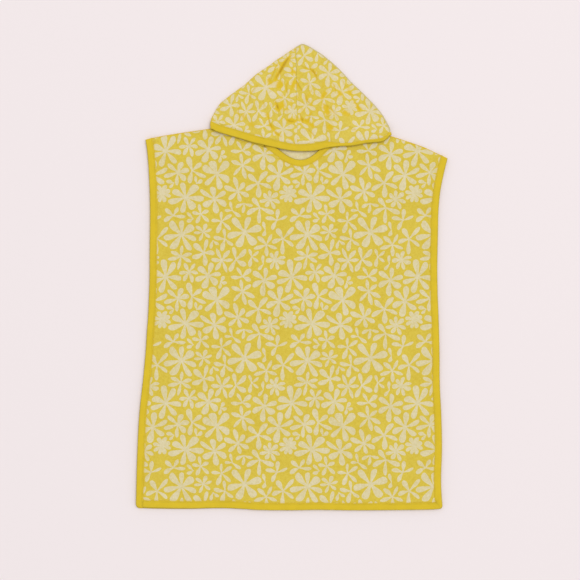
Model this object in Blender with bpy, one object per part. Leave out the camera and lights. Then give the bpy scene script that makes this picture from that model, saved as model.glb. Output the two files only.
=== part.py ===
"""A child's hooded bath poncho, laid out flat with its hood drawn over the neckline.

Two terry panels, front and back, meet along the shoulders and hang free at the sides. A hood of
two pieces is sewn into the neckline, and folded tape binds the sides, the hems, the front of the
neck and the hood's face. It lies on the plane z = 0 with its hood towards +Y and its front up.
All sizes are in millimetres, and MM turns them into metres as each mesh is made.
"""

import collections
import math

import bmesh
import bpy
import numpy as np

MM = 0.001

# ---- Cloth and tape ----------------------------------------------------------------------------
CLOTH = 2.4  # terry, pile to pile
GAP = 0.3  # between any two pieces
TAPE = 1.0  # one leg of the folded tape
PRESSED = 1.0  # terry pressed between the two legs
TAPE_HIGH = 2 * TAPE + 2 * GAP + PRESSED
NOSE = TAPE_HIGH / 2  # radius of the tape's folded edge
INSET = 2.8  # from the tape's fold to the cut edge of the cloth inside it
NECK_INSET = 3.3  # more round the tight curve of the neck
NECK_TRIM = 4.1  # the same, measured along the shoulder seam
EDGE_TAPE = 14.0  # width shown on the sides and the hems
NECK_TAPE = 13.0
NECK_END = 15.7  # along the shoulder seam, from the neck to the outer edge of its tape
HOOD_TAPE = 14.0
EASE = 11.0  # over which terry swells from its pressed edge to its full thickness
EASE_FROM = 1.5  # past the tape's inner edge, where it starts to swell
SHOULDER_THIN = 0.15  # least share of its thickness that a panel keeps where it rolls over

# ---- Levels, each the underside of what lies there ---------------------------------------------
FRONT_LEVEL = CLOTH + GAP
FRONT_TAPE_LEVEL = TAPE_HIGH + GAP
NECK_TAPE_LEVEL = CLOTH + GAP
HOOD_LEVEL = FRONT_LEVEL + CLOTH + 2 * GAP  # the hood's hidden layer, where it lies on the front
DROP_FROM = 4.0  # past the shoulder, where that layer starts down to the ground
DROP = 22.0  # over which it comes down

# ---- Outlines, seen from above -----------------------------------------------------------------
Point = collections.namedtuple("Point", "x y")

BODY_WIDE = 590.0
BODY_HIGH = 740.0
LEFT_SIDE = [  # from the hem up
    Point(-306.8, -452.0),
    Point(-306.1, -418.0),
    Point(-304.2, -349.7),
    Point(-300.9, -281.0),
    Point(-297.2, -240.8),
    Point(-292.2, -197.1),
    Point(-287.6, -146.1),
    Point(-285.0, -105.0),
    Point(-282.6, -73.4),
    Point(-280.0, -5.5),
    Point(-279.7, 49.6),
    Point(-278.9, 132.0),
    Point(-280.8, 195.9),
    Point(-284.2, 243.9),
    Point(-287.9, 270.3),
]
RIGHT_SIDE = [
    Point(296.6, -456.0),
    Point(293.8, -400.0),
    Point(295.7, -336.0),
    Point(294.2, -270.0),
    Point(291.2, -210.0),
    Point(290.8, -150.0),
    Point(289.3, -88.0),
    Point(287.2, -33.0),
    Point(286.4, 22.0),
    Point(287.5, 77.0),
    Point(288.5, 126.0),
    Point(291.2, 160.0),
    Point(295.6, 187.0),
    Point(301.5, 213.0),
    Point(306.6, 233.5),
]
FRONT_HEM = [  # from the left corner to the right
    Point(-306.8, -452.0),
    Point(-270.0, -453.7),
    Point(-205.0, -454.9),
    Point(-150.0, -453.9),
    Point(-120.0, -454.5),
    Point(-92.0, -456.3),
    Point(-62.0, -458.2),
    Point(0.0, -458.8),
    Point(56.0, -457.9),
    Point(130.0, -458.9),
    Point(260.0, -457.6),
    Point(296.6, -456.0),
]
BACK_HEM = [
    Point(-306.8, -454.4),
    Point(-270.0, -455.9),
    Point(-205.0, -456.5),
    Point(-150.0, -455.2),
    Point(-120.0, -455.6),
    Point(-92.0, -457.0),
    Point(-62.0, -458.5),
    Point(0.0, -458.9),
    Point(56.0, -458.0),
    Point(130.0, -458.9),
    Point(260.0, -457.6),
    Point(296.6, -456.0),
]
LEFT_SHOULDER = [  # from the sleeve end to the neck
    Point(-287.9, 270.3),
    Point(-262.7, 276.6),
    Point(-211.4, 285.2),
    Point(-163.8, 291.9),
    Point(-82.1, 305.3),
]
RIGHT_SHOULDER = [  # from the neck to the sleeve end
    Point(104.7, 301.3),
    Point(150.0, 291.5),
    Point(197.6, 277.2),
    Point(243.8, 261.9),
    Point(262.1, 255.2),
    Point(283.9, 244.8),
    Point(306.6, 233.5),
]
FRONT_NECK = [  # the scoop, along the fold of its tape
    Point(-82.1, 305.3),
    Point(-58.5, 280.7),
    Point(-38.8, 262.4),
    Point(-8.2, 239.4),
    Point(16.0, 231.2),
    Point(38.3, 238.2),
    Point(63.4, 260.0),
    Point(83.1, 280.4),
    Point(104.7, 301.3),
]
BACK_NECK = [
    Point(-82.1, 305.3),
    Point(-40.0, 297.0),
    Point(10.3, 293.5),
    Point(60.0, 295.5),
    Point(104.7, 301.3),
]
HOOD_FACE = [  # the front edge of the hood's upper layer, along the fold of its tape
    Point(-159.8, 290.3),
    Point(-147.8, 284.4),
    Point(-107.7, 273.0),
    Point(-75.0, 263.4),
    Point(-41.2, 256.2),
    Point(-15.0, 250.6),
    Point(10.3, 247.4),
    Point(45.0, 248.4),
    Point(68.4, 253.8),
    Point(93.5, 257.2),
    Point(122.0, 258.6),
    Point(150.0, 263.8),
    Point(182.0, 267.6),
    Point(196.8, 278.9),
]
HOOD_LEFT_OUTLINE = [  # the fold from the face corner to the crown
    Point(-159.8, 290.3),
    Point(-160.6, 309.4),
    Point(-144.1, 338.9),
    Point(-124.0, 353.8),
    Point(-92.0, 380.2),
    Point(-68.7, 399.9),
    Point(-32.9, 427.2),
    Point(-21.1, 434.3),
    Point(-3.0, 445.8),
    Point(8.4, 453.8),
]
HOOD_RIGHT_OUTLINE = [
    Point(196.8, 278.9),
    Point(189.7, 299.8),
    Point(173.2, 327.3),
    Point(142.9, 359.2),
    Point(117.0, 384.2),
    Point(103.0, 400.0),
    Point(87.6, 416.2),
    Point(51.6, 443.3),
    Point(24.1, 459.1),
    Point(8.4, 453.8),
]
HOOD_SEAM = [  # the seam over the top of the head, from the face to the crown
    Point(10.3, 247.4),
    Point(10.6, 300.0),
    Point(9.6, 370.0),
    Point(8.4, 430.0),
    Point(8.4, 453.8),
]
NAPE = 294.1  # where the hood's back seam leaves the neckline
CORNER_RADIUS = 6.0  # at the ends of the hems
CORNER_TRIM = 4.2  # taken off the cloth's corners, so that they stay inside the rounded tape
CORNER_ANGLES = (math.radians(60), math.radians(30), 0.0)  # round the left corner, from the hem up
MITRE_ON = 1.4  # where a mitred tape's inner edge straightens, along it and across it
MITRE_OFF = 0.2
END_EASE = 4.0  # from a tape's end to its first square station
SHOULDER_CLEAR = 10.0  # from its last one to the shoulder
NECK_SPAN = (0.03, 0.97)  # shares of the neck between which its tape's stations are even

# ---- The hood's hidden layer and its fold ------------------------------------------------------
ROOT_CLEAR = 0.6  # between the hidden layer's end and the tape or the neckline beside it
TURN_CLEAR = 1.0  # the same at the shoulder seam, along it
TURN_LIFT = 0.7  # and past it
TURN_ROOM = 3.0  # from there down to the last place on the front neckline
SEAM_X = 10.3  # where the hood's two sides meet on the back neckline
SEAM_ROOM = 0.2
CROWN_ROW = 0.93  # from which the rows turn square to the seam
CROWN_ROWS = (0.965, 0.985, 1.0)
FRONT_CORNER = {-1: 0.235, 1: 0.225}  # share of the neck scoop where the hood starts, at each side
SHOULDER_ROW = 0.21  # the hood's row that ends at the shoulder seam
NAPE_ROW = 0.50  # the row that ends at the nape
FOLD_RADIUS = 1.6  # of the middle of the wall at the side folds
FOLD_RADIUS_TAPED = 2.2
FOLD_EASE = 45.0  # over which the upper layer leaves the fold
NECK_SAG = 22.0  # over which the upper layer sinks into the open neck
TUCK_HIGH = 4.0  # the slack of the back of the hood, gathered in the hidden layer
TUCK_AT = Point(10.0, 336.0)
TUCK_HALF = Point(76.0, 38.0)
ROLLED_TAPE = 5.2  # what shows of the face tape where its edge is rolled
ROLL_FROM = 58.0
ROLL_FULL = 98.0

Height = collections.namedtuple("Height", "share level")
HOOD_MIDDLE = [  # underside of the upper layer along the seam, from the face to the crown
    Height(0.00, 7.5),
    Height(0.12, 7.8),
    Height(0.25, 8.7),
    Height(0.45, 9.0),
    Height(0.65, 8.2),
    Height(0.80, 6.8),
    Height(0.92, 4.8),
    Height(1.00, 2 * FOLD_RADIUS),
]

Crease = collections.namedtuple("Crease", "x1 y1 x2 y2 rise width")
HOOD_CREASES = [  # ridges, and troughs where rise is negative
    Crease(-8.0, 430.0, -26.0, 385.0, -2.6, 5.5),
    Crease(0.0, 428.0, -12.0, 376.0, 1.6, 6.0),
    Crease(-27.0, 419.0, -41.0, 380.0, 1.1, 7.0),
    Crease(-17.0, 368.0, -15.0, 337.0, -2.0, 7.0),
    Crease(34.0, 416.0, 55.0, 384.0, -1.4, 6.0),
    Crease(22.0, 412.0, 38.0, 372.0, 1.1, 7.0),
    Crease(11.0, 372.0, 31.0, 326.0, -1.3, 6.0),
    Crease(-3.0, 326.0, -15.0, 275.0, -1.2, 6.0),
    Crease(23.0, 314.0, 17.0, 268.0, -1.0, 6.0),
    Crease(76.0, 330.0, 120.0, 294.0, 1.1, 13.0),
    Crease(-104.0, 330.0, -56.0, 292.0, 1.0, 13.0),
    Crease(112.0, 286.0, 168.0, 300.0, 0.9, 8.0),
]
FRONT_WAVES = [
    Crease(-285.0, -186.0, 285.0, -192.0, 0.7, 12.0),
    Crease(-180.0, 170.0, -120.0, -60.0, 0.9, 34.0),
    Crease(40.0, 130.0, 90.0, -120.0, 1.1, 40.0),
    Crease(200.0, 60.0, 180.0, -130.0, 0.8, 30.0),
    Crease(-90.0, -250.0, -40.0, -400.0, 0.9, 34.0),
    Crease(150.0, -260.0, 190.0, -400.0, 0.8, 30.0),
]

# ---- How finely the pieces are faceted ---------------------------------------------------------
SIDE_STATIONS = 18
HEM_STATIONS = 12
NECK_STATIONS = 20
HOOD_ROWS = (2, 6, 7)  # up to the shoulder, from there to the nape, and from there to the crown
FRONT_GRID = (5, 18, 16)  # columns on a shoulder and across the neck, and rows up the body
BACK_GRID = (3, 10, 15)
NEAR_EDGE = (INSET, EDGE_TAPE + 1.2, EDGE_TAPE + 5.0, EDGE_TAPE + EASE_FROM + EASE)
NEAR_TOP = (26.0, 20.0, NECK_TAPE + 1.2 - INSET, 2.6, 1.0, 0.0)
NECK_TAPED = NECK_END - 2.5
NEAR_FACE = (INSET, HOOD_TAPE / 2, HOOD_TAPE + 0.4, HOOD_TAPE + 5.5, HOOD_TAPE + EASE_FROM + EASE)
UPPER_COLUMNS = 14
FOLD_COLUMNS = 5
LOWER_COLUMNS = 6

YELLOW_PRINT = (0.66, 0.54, 0.12)
CREAM_PRINT = (0.70, 0.60, 0.27)
YELLOW_TAPE = (0.69, 0.49, 0.03)


# ---- Curves ------------------------------------------------------------------------------------
class Line:
    """A line in plan, read at a share of its length."""

    def __init__(self, points):
        self.points = np.array(points, float)
        steps = np.linalg.norm(np.diff(self.points, axis=0), axis=1)
        self.run = np.concatenate([[0.0], np.cumsum(steps)])
        self.length = self.run[-1]

    def at(self, share):
        run = np.clip(share, 0.0, 1.0) * self.length
        return np.array([np.interp(run, self.run, self.points[:, k]) for k in (0, 1)])

    def heading(self, share):
        step = 2.0 / self.length
        return unit(self.at(min(1.0, share + step)) - self.at(max(0.0, share - step)))

    def shifted(self, distance):
        """The same line, moved to its left by a distance."""
        shares = self.run / self.length
        return Line([self.at(s) + distance * left_of(self.heading(s)) for s in shares])

    def extended(self, distance):
        """The same line, run straight on at both ends."""
        first = self.points[0] - distance * self.heading(0.0)
        last = self.points[-1] + distance * self.heading(1.0)
        return Line(np.vstack([[first], self.points, [last]]))

    def part(self, start, end, count=40):
        return [self.at(s) for s in np.linspace(start, end, count)]

    def distance(self, point):
        """From a point to the nearest place on the line."""
        a = self.points[:-1]
        b = self.points[1:] - a
        t = ((point - a) * b).sum(1) / (b * b).sum(1)
        nearest = a + np.clip(t, 0, 1)[:, None] * b
        return np.linalg.norm(point - nearest, axis=1).min()

    def y_at(self, x):
        return np.interp(x, self.points[:, 0], self.points[:, 1])

    def surrounds(self, point):
        """Whether a closed line goes round a point."""
        a = self.points[:-1]
        b = self.points[1:]
        spans = (a[:, 1] > point[1]) != (b[:, 1] > point[1])
        a = a[spans]
        b = b[spans]
        crossed = a[:, 0] + (point[1] - a[:, 1]) / (b[:, 1] - a[:, 1]) * (b[:, 0] - a[:, 0])
        return np.count_nonzero(crossed > point[0]) % 2 == 1


def unit(vector):
    return vector / np.linalg.norm(vector)


def left_of(heading):
    return np.array([-heading[1], heading[0]])


def smooth(points, steps=10):
    """A rounded line through the points of a table."""
    p = np.array(points, float)
    p = np.vstack([2 * p[0] - p[1], p, 2 * p[-1] - p[-2]])
    dense = []
    for a, b, c, d in zip(p, p[1:], p[2:], p[3:]):
        for t in np.arange(steps) / steps:
            bend = (2 * a - 5 * b + 4 * c - d) * t**2
            twist = (3 * b - a - 3 * c + d) * t**3
            dense.append(0.5 * (2 * b + (c - a) * t + bend + twist))
    dense.append(p[-2])
    return Line(dense)


def ease(t):
    t = min(1.0, max(0.0, t))
    return t * t * (3 - 2 * t)


def mix(a, b, t):
    return a + (b - a) * t


def soft_max(a, b, blend=0.5):
    """The higher of two levels, rounded where they cross and never below either."""
    return max(a, b) + max(0.0, blend - abs(a - b)) ** 2 / (4 * blend)


def creased(creases, point):
    """What the creases add at a point: each fades across its width and towards its ends."""
    total = 0.0
    for c in creases:
        start = np.array([c.x1, c.y1])
        along = np.array([c.x2, c.y2]) - start
        t = float(np.dot(point - start, along) / np.dot(along, along))
        across = np.linalg.norm(point - start - np.clip(t, 0, 1) * along) / c.width
        if across < 2:
            ends = ease(1 - abs(2 * np.clip(t, 0, 1) - 1) ** 4 * 0.6)
            total += c.rise * ends * math.exp(-(across**2) * 1.6)
    return total


left_side = smooth(LEFT_SIDE)
right_side = smooth(RIGHT_SIDE)
front_hem = smooth(FRONT_HEM)
back_hem = smooth(BACK_HEM)
left_shoulder = smooth(LEFT_SHOULDER)
right_shoulder = smooth(RIGHT_SHOULDER)
front_neck = smooth(FRONT_NECK)
back_neck = smooth(BACK_NECK)
hood_face = smooth(HOOD_FACE)
hood_seam = smooth(HOOD_SEAM)
hood_outline = {-1: smooth(HOOD_LEFT_OUTLINE), 1: smooth(HOOD_RIGHT_OUTLINE)}
over_top = [left_shoulder.points, front_neck.points[1:], right_shoulder.points[1:]]
front_top = Line(np.vstack(over_top))
neck_reach = front_neck.extended(2 * NECK_TAPE)


# ---- Solids ------------------------------------------------------------------------------------
def add_object(name, points, faces, colour, roughness):
    """A closed mesh from points in millimetres, with its own material."""
    mesh = bpy.data.meshes.new(name)
    mesh.from_pydata([tuple(float(v) * MM for v in p) for p in points], [], faces)
    shaped = bmesh.new()
    shaped.from_mesh(mesh)
    bmesh.ops.remove_doubles(shaped, verts=shaped.verts, dist=0.00002)
    bmesh.ops.triangulate(shaped, faces=shaped.faces)
    bmesh.ops.recalc_face_normals(shaped, faces=shaped.faces)
    shaped.to_mesh(mesh)
    shaped.free()
    mesh.shade_smooth()
    mesh.set_sharp_from_angle(angle=math.radians(50))
    made = bpy.data.objects.new(name, mesh)
    bpy.context.scene.collection.objects.link(made)
    material = bpy.data.materials.new(name)
    material.use_nodes = True
    shader = material.node_tree.nodes["Principled BSDF"]
    shader.inputs["Base Color"].default_value = (*colour, 1.0)
    shader.inputs["Roughness"].default_value = roughness
    shader.inputs["Metallic"].default_value = 0.0
    mesh.materials.append(material)
    return made


def wall(name, outside, inside, colour):
    """A wall of cloth between two grids of points, closed round its edge."""
    rows = len(outside)
    columns = len(outside[0])
    points = [p for row in outside for p in row] + [p for row in inside for p in row]
    far = rows * columns

    def index(r, c):
        return r * columns + c

    faces = []
    for r in range(rows - 1):
        for c in range(columns - 1):
            quad = (index(r, c), index(r, c + 1), index(r + 1, c + 1), index(r + 1, c))
            faces.append(quad)
            faces.append(tuple(far + i for i in reversed(quad)))
    rim = [index(0, c) for c in range(columns - 1)]
    rim += [index(r, columns - 1) for r in range(rows - 1)]
    rim += [index(rows - 1, c) for c in range(columns - 1, 0, -1)]
    rim += [index(r, 0) for r in range(rows - 1, 0, -1)]
    for a, b in zip(rim, rim[1:] + rim[:1]):
        faces.append((b, a, far + a, far + b))
    return add_object(name, points, faces, colour, 0.95)


def tape_section(place, leg_top, leg_bottom, halfway):
    """The folded tape across one station: round the outside of its fold, then back inside.

    place turns a depth from the fold and a height from the tape's middle into a point, and
    halfway adds a point to each face of the legs, so that they can follow a bent cloth.
    """
    cavity = GAP + PRESSED / 2
    low = [leg_bottom, leg_bottom / 2] if halfway else [leg_bottom]
    high = [leg_top / 2, leg_top] if halfway else [leg_top]
    around = [(d, -NOSE) for d in low] + [(NOSE, -NOSE)]
    around += [(NOSE - NOSE * math.cos(t), NOSE * math.sin(t)) for t in (-math.pi / 4, 0, math.pi / 4)]
    around += [(NOSE, NOSE)] + [(d, NOSE) for d in high]
    around += [(d, cavity) for d in reversed(high)]
    around += [(NOSE, cavity), (TAPE, 0.0), (NOSE, -cavity)]
    around += [(d, -cavity) for d in reversed(low)]
    return [place(depth, height) for depth, height in around]


def tape(name, sections):
    """A folded tape swept through its sections, closed at both ends."""
    size = len(sections[0])
    points = [p for section in sections for p in section]
    faces = []
    for r in range(len(sections) - 1):
        for c in range(size):
            d = (c + 1) % size
            faces.append((r * size + c, r * size + d, (r + 1) * size + d, (r + 1) * size + c))
    # Each end is closed in parts, because the section is a hook and not one convex face.
    leg = (size - 8) // 4
    nose = leg + 2
    inner = size - leg - 2
    loops = [(leg, leg + 1, nose, inner, inner + 1), (nose, nose + 1, nose + 2, inner - 1, inner)]
    loops += [(k, k + 1, size - 2 - k, size - 1 - k) for k in range(leg)]
    loops += [(nose + 2 + k, nose + 3 + k, inner - 2 - k, inner - 1 - k) for k in range(leg)]
    for base in (0, (len(sections) - 1) * size):
        faces += [tuple(base + i for i in loop) for loop in loops]
    return add_object(name, points, faces, YELLOW_TAPE, 0.85)


# ---- The two panels ----------------------------------------------------------------------------
def panel_point(top, bottom, u, v):
    """A place on a panel: u runs left to right and v from the hem to the top edge."""
    left = left_side.at(v) + (bottom.at(0) - left_side.at(0)) * (1 - v)
    right = right_side.at(v)
    low = bottom.at(u)
    high = top(u)
    corners = (
        (1 - u) * (1 - v) * bottom.at(0)
        + u * (1 - v) * bottom.at(1)
        + (1 - u) * v * top(0.0)
        + u * v * top(1.0)
    )
    return (1 - u) * left + u * right + (1 - v) * low + v * high - corners


def panel_top(neck, trim):
    """The top edge of a panel as a function of u, and where along it the neckline starts and ends.

    trim is what the neckline's cut edge takes off each shoulder seam.
    """
    left = Line(left_shoulder.part(0, 1 - trim / left_shoulder.length))
    right = Line(right_shoulder.part(trim / right_shoulder.length, 1))
    between = Line(np.vstack([[left.at(1)], neck.points[1:-1], [right.at(0)]]))
    width = right.at(1)[0] - left.at(0)[0]
    start = (left.at(1)[0] - left.at(0)[0]) / width
    end = (right.at(0)[0] - left.at(0)[0]) / width

    def edge(u):
        if u <= start:
            return left.at(u / start)
        if u < end:
            return between.at((u - start) / (end - start))
        return right.at((u - end) / (1 - end))

    return edge, start, end


def panel_steps(start, end, grid):
    """The grid's lines in u and v, closer together along the bound edges and the top."""
    on_shoulder, on_neck, on_body = grid
    low = [d / BODY_WIDE for d in NEAR_EDGE]
    high = [1 - d for d in reversed(low)]
    clear = (NECK_END + EASE) / BODY_WIDE
    taped = NECK_TAPED / BODY_WIDE
    us = low + list(np.linspace(low[-1], start - clear, on_shoulder)[1:])
    us += [start - taped, start]
    us += list(np.linspace(start, end, on_neck + 1)[1:-1])
    us += [end, end + taped]
    us += list(np.linspace(end + clear, high[0], on_shoulder)) + high[1:]
    vs = [d / BODY_HIGH for d in NEAR_EDGE]
    tops = [1 - d / BODY_HIGH for d in NEAR_TOP]
    vs += list(np.linspace(vs[-1], tops[0], on_body + 1)[1:-1]) + tops
    return us, vs


def shoulder_round(point):
    """The share of its thickness that a panel keeps as it rolls over the shoulder seam."""
    nearest = min(left_shoulder.distance(point), right_shoulder.distance(point))
    t = min(1.0, nearest / CLOTH)
    return max(SHOULDER_THIN, math.sqrt(1 - (1 - t) ** 2))


def pressed(distance, shown):
    """1 inside a tape of the shown width, easing to 0 past its edge."""
    return 1 - ease((distance - shown - EASE_FROM) / EASE)


def trimmed_corner(point, u, v, us, vs, hem):
    """The cloth's hem corners are cut off inside the rounded corners of the tape."""
    if v > vs[0] or us[0] < u < us[-1]:
        return point
    corner = hem.at(0) if u <= us[0] else hem.at(1)
    inward = np.array([1.0 if u <= us[0] else -1.0, 1.0])
    return corner + inward * CORNER_TRIM


def make_panel(name, neck, hem, level, tape_level, bound_neck, waves, grid, colour):
    top, start, end = panel_top(neck, NECK_TRIM if bound_neck else 0.0)
    us, vs = panel_steps(start, end, grid)
    upper = []
    lower = []
    for v in vs:
        upper.append([])
        lower.append([])
        for u in us:
            p = trimmed_corner(panel_point(top, hem, u, v), u, v, us, vs, hem)
            edge = min(left_side.distance(p), right_side.distance(p), hem.distance(p))
            side = pressed(edge, EDGE_TAPE)
            around_neck = pressed(neck_reach.distance(p), NECK_TAPE) if bound_neck else 0.0
            floor = mix(level, tape_level + TAPE + GAP, side)
            thick = mix(CLOTH, PRESSED, max(side, around_neck))
            floor += around_neck * (TAPE + GAP) * (1 - side)
            floor += creased(waves, p) * (1 - side) * (1 - around_neck)
            kept = thick * shoulder_round(p)
            if level > 0:
                lower[-1].append(np.array([*p, floor]))
                upper[-1].append(np.array([*p, floor + kept]))
            else:
                upper[-1].append(np.array([*p, floor + thick]))
                lower[-1].append(np.array([*p, floor + thick - kept]))
    return wall(name, upper, lower, colour)


# ---- Tapes on the panels -----------------------------------------------------------------------
def flat_section(fold, inner, level):
    """A section of tape that lies flat, between its fold and the inner edge of its legs."""
    wide = np.linalg.norm(inner - fold)
    inward = (inner - fold) / wide

    def place(depth, height):
        return np.array([*(fold + depth * inward), level + NOSE + height])

    return tape_section(place, wide, wide, False)


def mitre(corner, turn):
    """A hem corner's place on the rounded fold, and where the inner edges of its tapes meet."""
    diagonal = np.array([turn, 1.0])
    return corner + diagonal * CORNER_RADIUS * (1 - math.sqrt(0.5)), corner + diagonal * EDGE_TAPE


def mitred_end(corner, turn, level):
    """A side tape's end that meets the hem's tape on the diagonal of the corner."""
    fold, inner = mitre(corner, turn)
    apart = np.array([-turn, 1.0]) / math.sqrt(2) * GAP / 2
    bend = corner + np.array([0.0, CORNER_RADIUS])
    past = inner + np.array([-MITRE_OFF * turn, MITRE_ON])
    return [flat_section(fold + apart, inner + apart, level), flat_section(bend, past, level)]


def square_end(hem, level):
    """A side tape's end that runs down to the hem, rounded at its corner."""
    corner = hem.at(0.0)
    inner = hem.at(EDGE_TAPE / hem.length)
    sections = [flat_section(hem.at(CORNER_RADIUS / hem.length), inner, level)]
    for angle in CORNER_ANGLES:
        rounded = np.array([1 - math.cos(angle), 1 - math.sin(angle)])
        fold = corner + CORNER_RADIUS * rounded
        sections.append(flat_section(fold, np.array([inner[0], fold[1]]), level))
    return sections


def side_tape(name, side, shoulder, hem, turn, level):
    """A tape from the hem to the shoulder: squared off at the left corner and mitred at the right."""
    sections = square_end(hem, level) if turn > 0 else mitred_end(hem.at(1.0), turn, level)
    first = (EDGE_TAPE + END_EASE) / side.length
    last = 1 - SHOULDER_CLEAR / side.length
    for share in np.linspace(first, last, SIDE_STATIONS):
        inward = -turn * left_of(side.heading(share))
        sections.append(flat_section(side.at(share), side.at(share) + inward * EDGE_TAPE, level))
    sections.append(flat_section(side.at(1.0), shoulder, level))
    return tape(name, sections)


def hem_tape(name, hem, level):
    """A tape along a hem, from the left side's tape to the mitre at the right."""
    start = hem.at((EDGE_TAPE + GAP) / hem.length)
    upright = left_side.heading(EDGE_TAPE / left_side.length)
    sections = [flat_section(start, start + upright * EDGE_TAPE, level)]
    first = (EDGE_TAPE + END_EASE) / hem.length
    for share in np.linspace(first, 1 - first, HEM_STATIONS):
        inward = left_of(hem.heading(share))
        sections.append(flat_section(hem.at(share), hem.at(share) + inward * EDGE_TAPE, level))
    fold, inner = mitre(hem.at(1.0), -1.0)
    apart = np.array([-1.0, -1.0]) / math.sqrt(2) * GAP / 2
    bend = hem.at(1 - CORNER_RADIUS / hem.length)
    sections.append(flat_section(bend, inner + np.array([-MITRE_ON, -MITRE_OFF]), level))
    sections.append(flat_section(fold + apart, inner + apart, level))
    return tape(name, sections)


def make_neck_tape():
    """The tape round the front of the neck, between the two shoulder seams."""
    left_end = left_shoulder.at(1 - NECK_END / left_shoulder.length)
    right_end = right_shoulder.at(NECK_END / right_shoulder.length)
    sections = [flat_section(front_neck.at(0.0), left_end, NECK_TAPE_LEVEL)]
    for share in np.linspace(*NECK_SPAN, NECK_STATIONS):
        outward = -left_of(front_neck.heading(share))
        fold = front_neck.at(share)
        sections.append(flat_section(fold, fold + outward * NECK_TAPE, NECK_TAPE_LEVEL))
    sections.append(flat_section(front_neck.at(1.0), right_end, NECK_TAPE_LEVEL))
    return tape("neck_binding", sections)


# ---- The hood ----------------------------------------------------------------------------------
def past_front(point):
    """How far a place lies past the top edge of the front, or 0 on it."""
    if point[1] < front_top.y_at(point[0]):
        return 0.0
    return front_top.distance(point)


def ground(point):
    """The underside of the hood's hidden layer: on the front, or down on the ground past it."""
    return HOOD_LEVEL * (1 - ease((past_front(point) - DROP_FROM) / DROP))


def tuck(point):
    """The gathered slack in the hidden layer."""
    away = math.hypot((point[0] - TUCK_AT.x) / TUCK_HALF.x, (point[1] - TUCK_AT.y) / TUCK_HALF.y)
    return TUCK_HIGH * (1 - ease(away))


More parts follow.
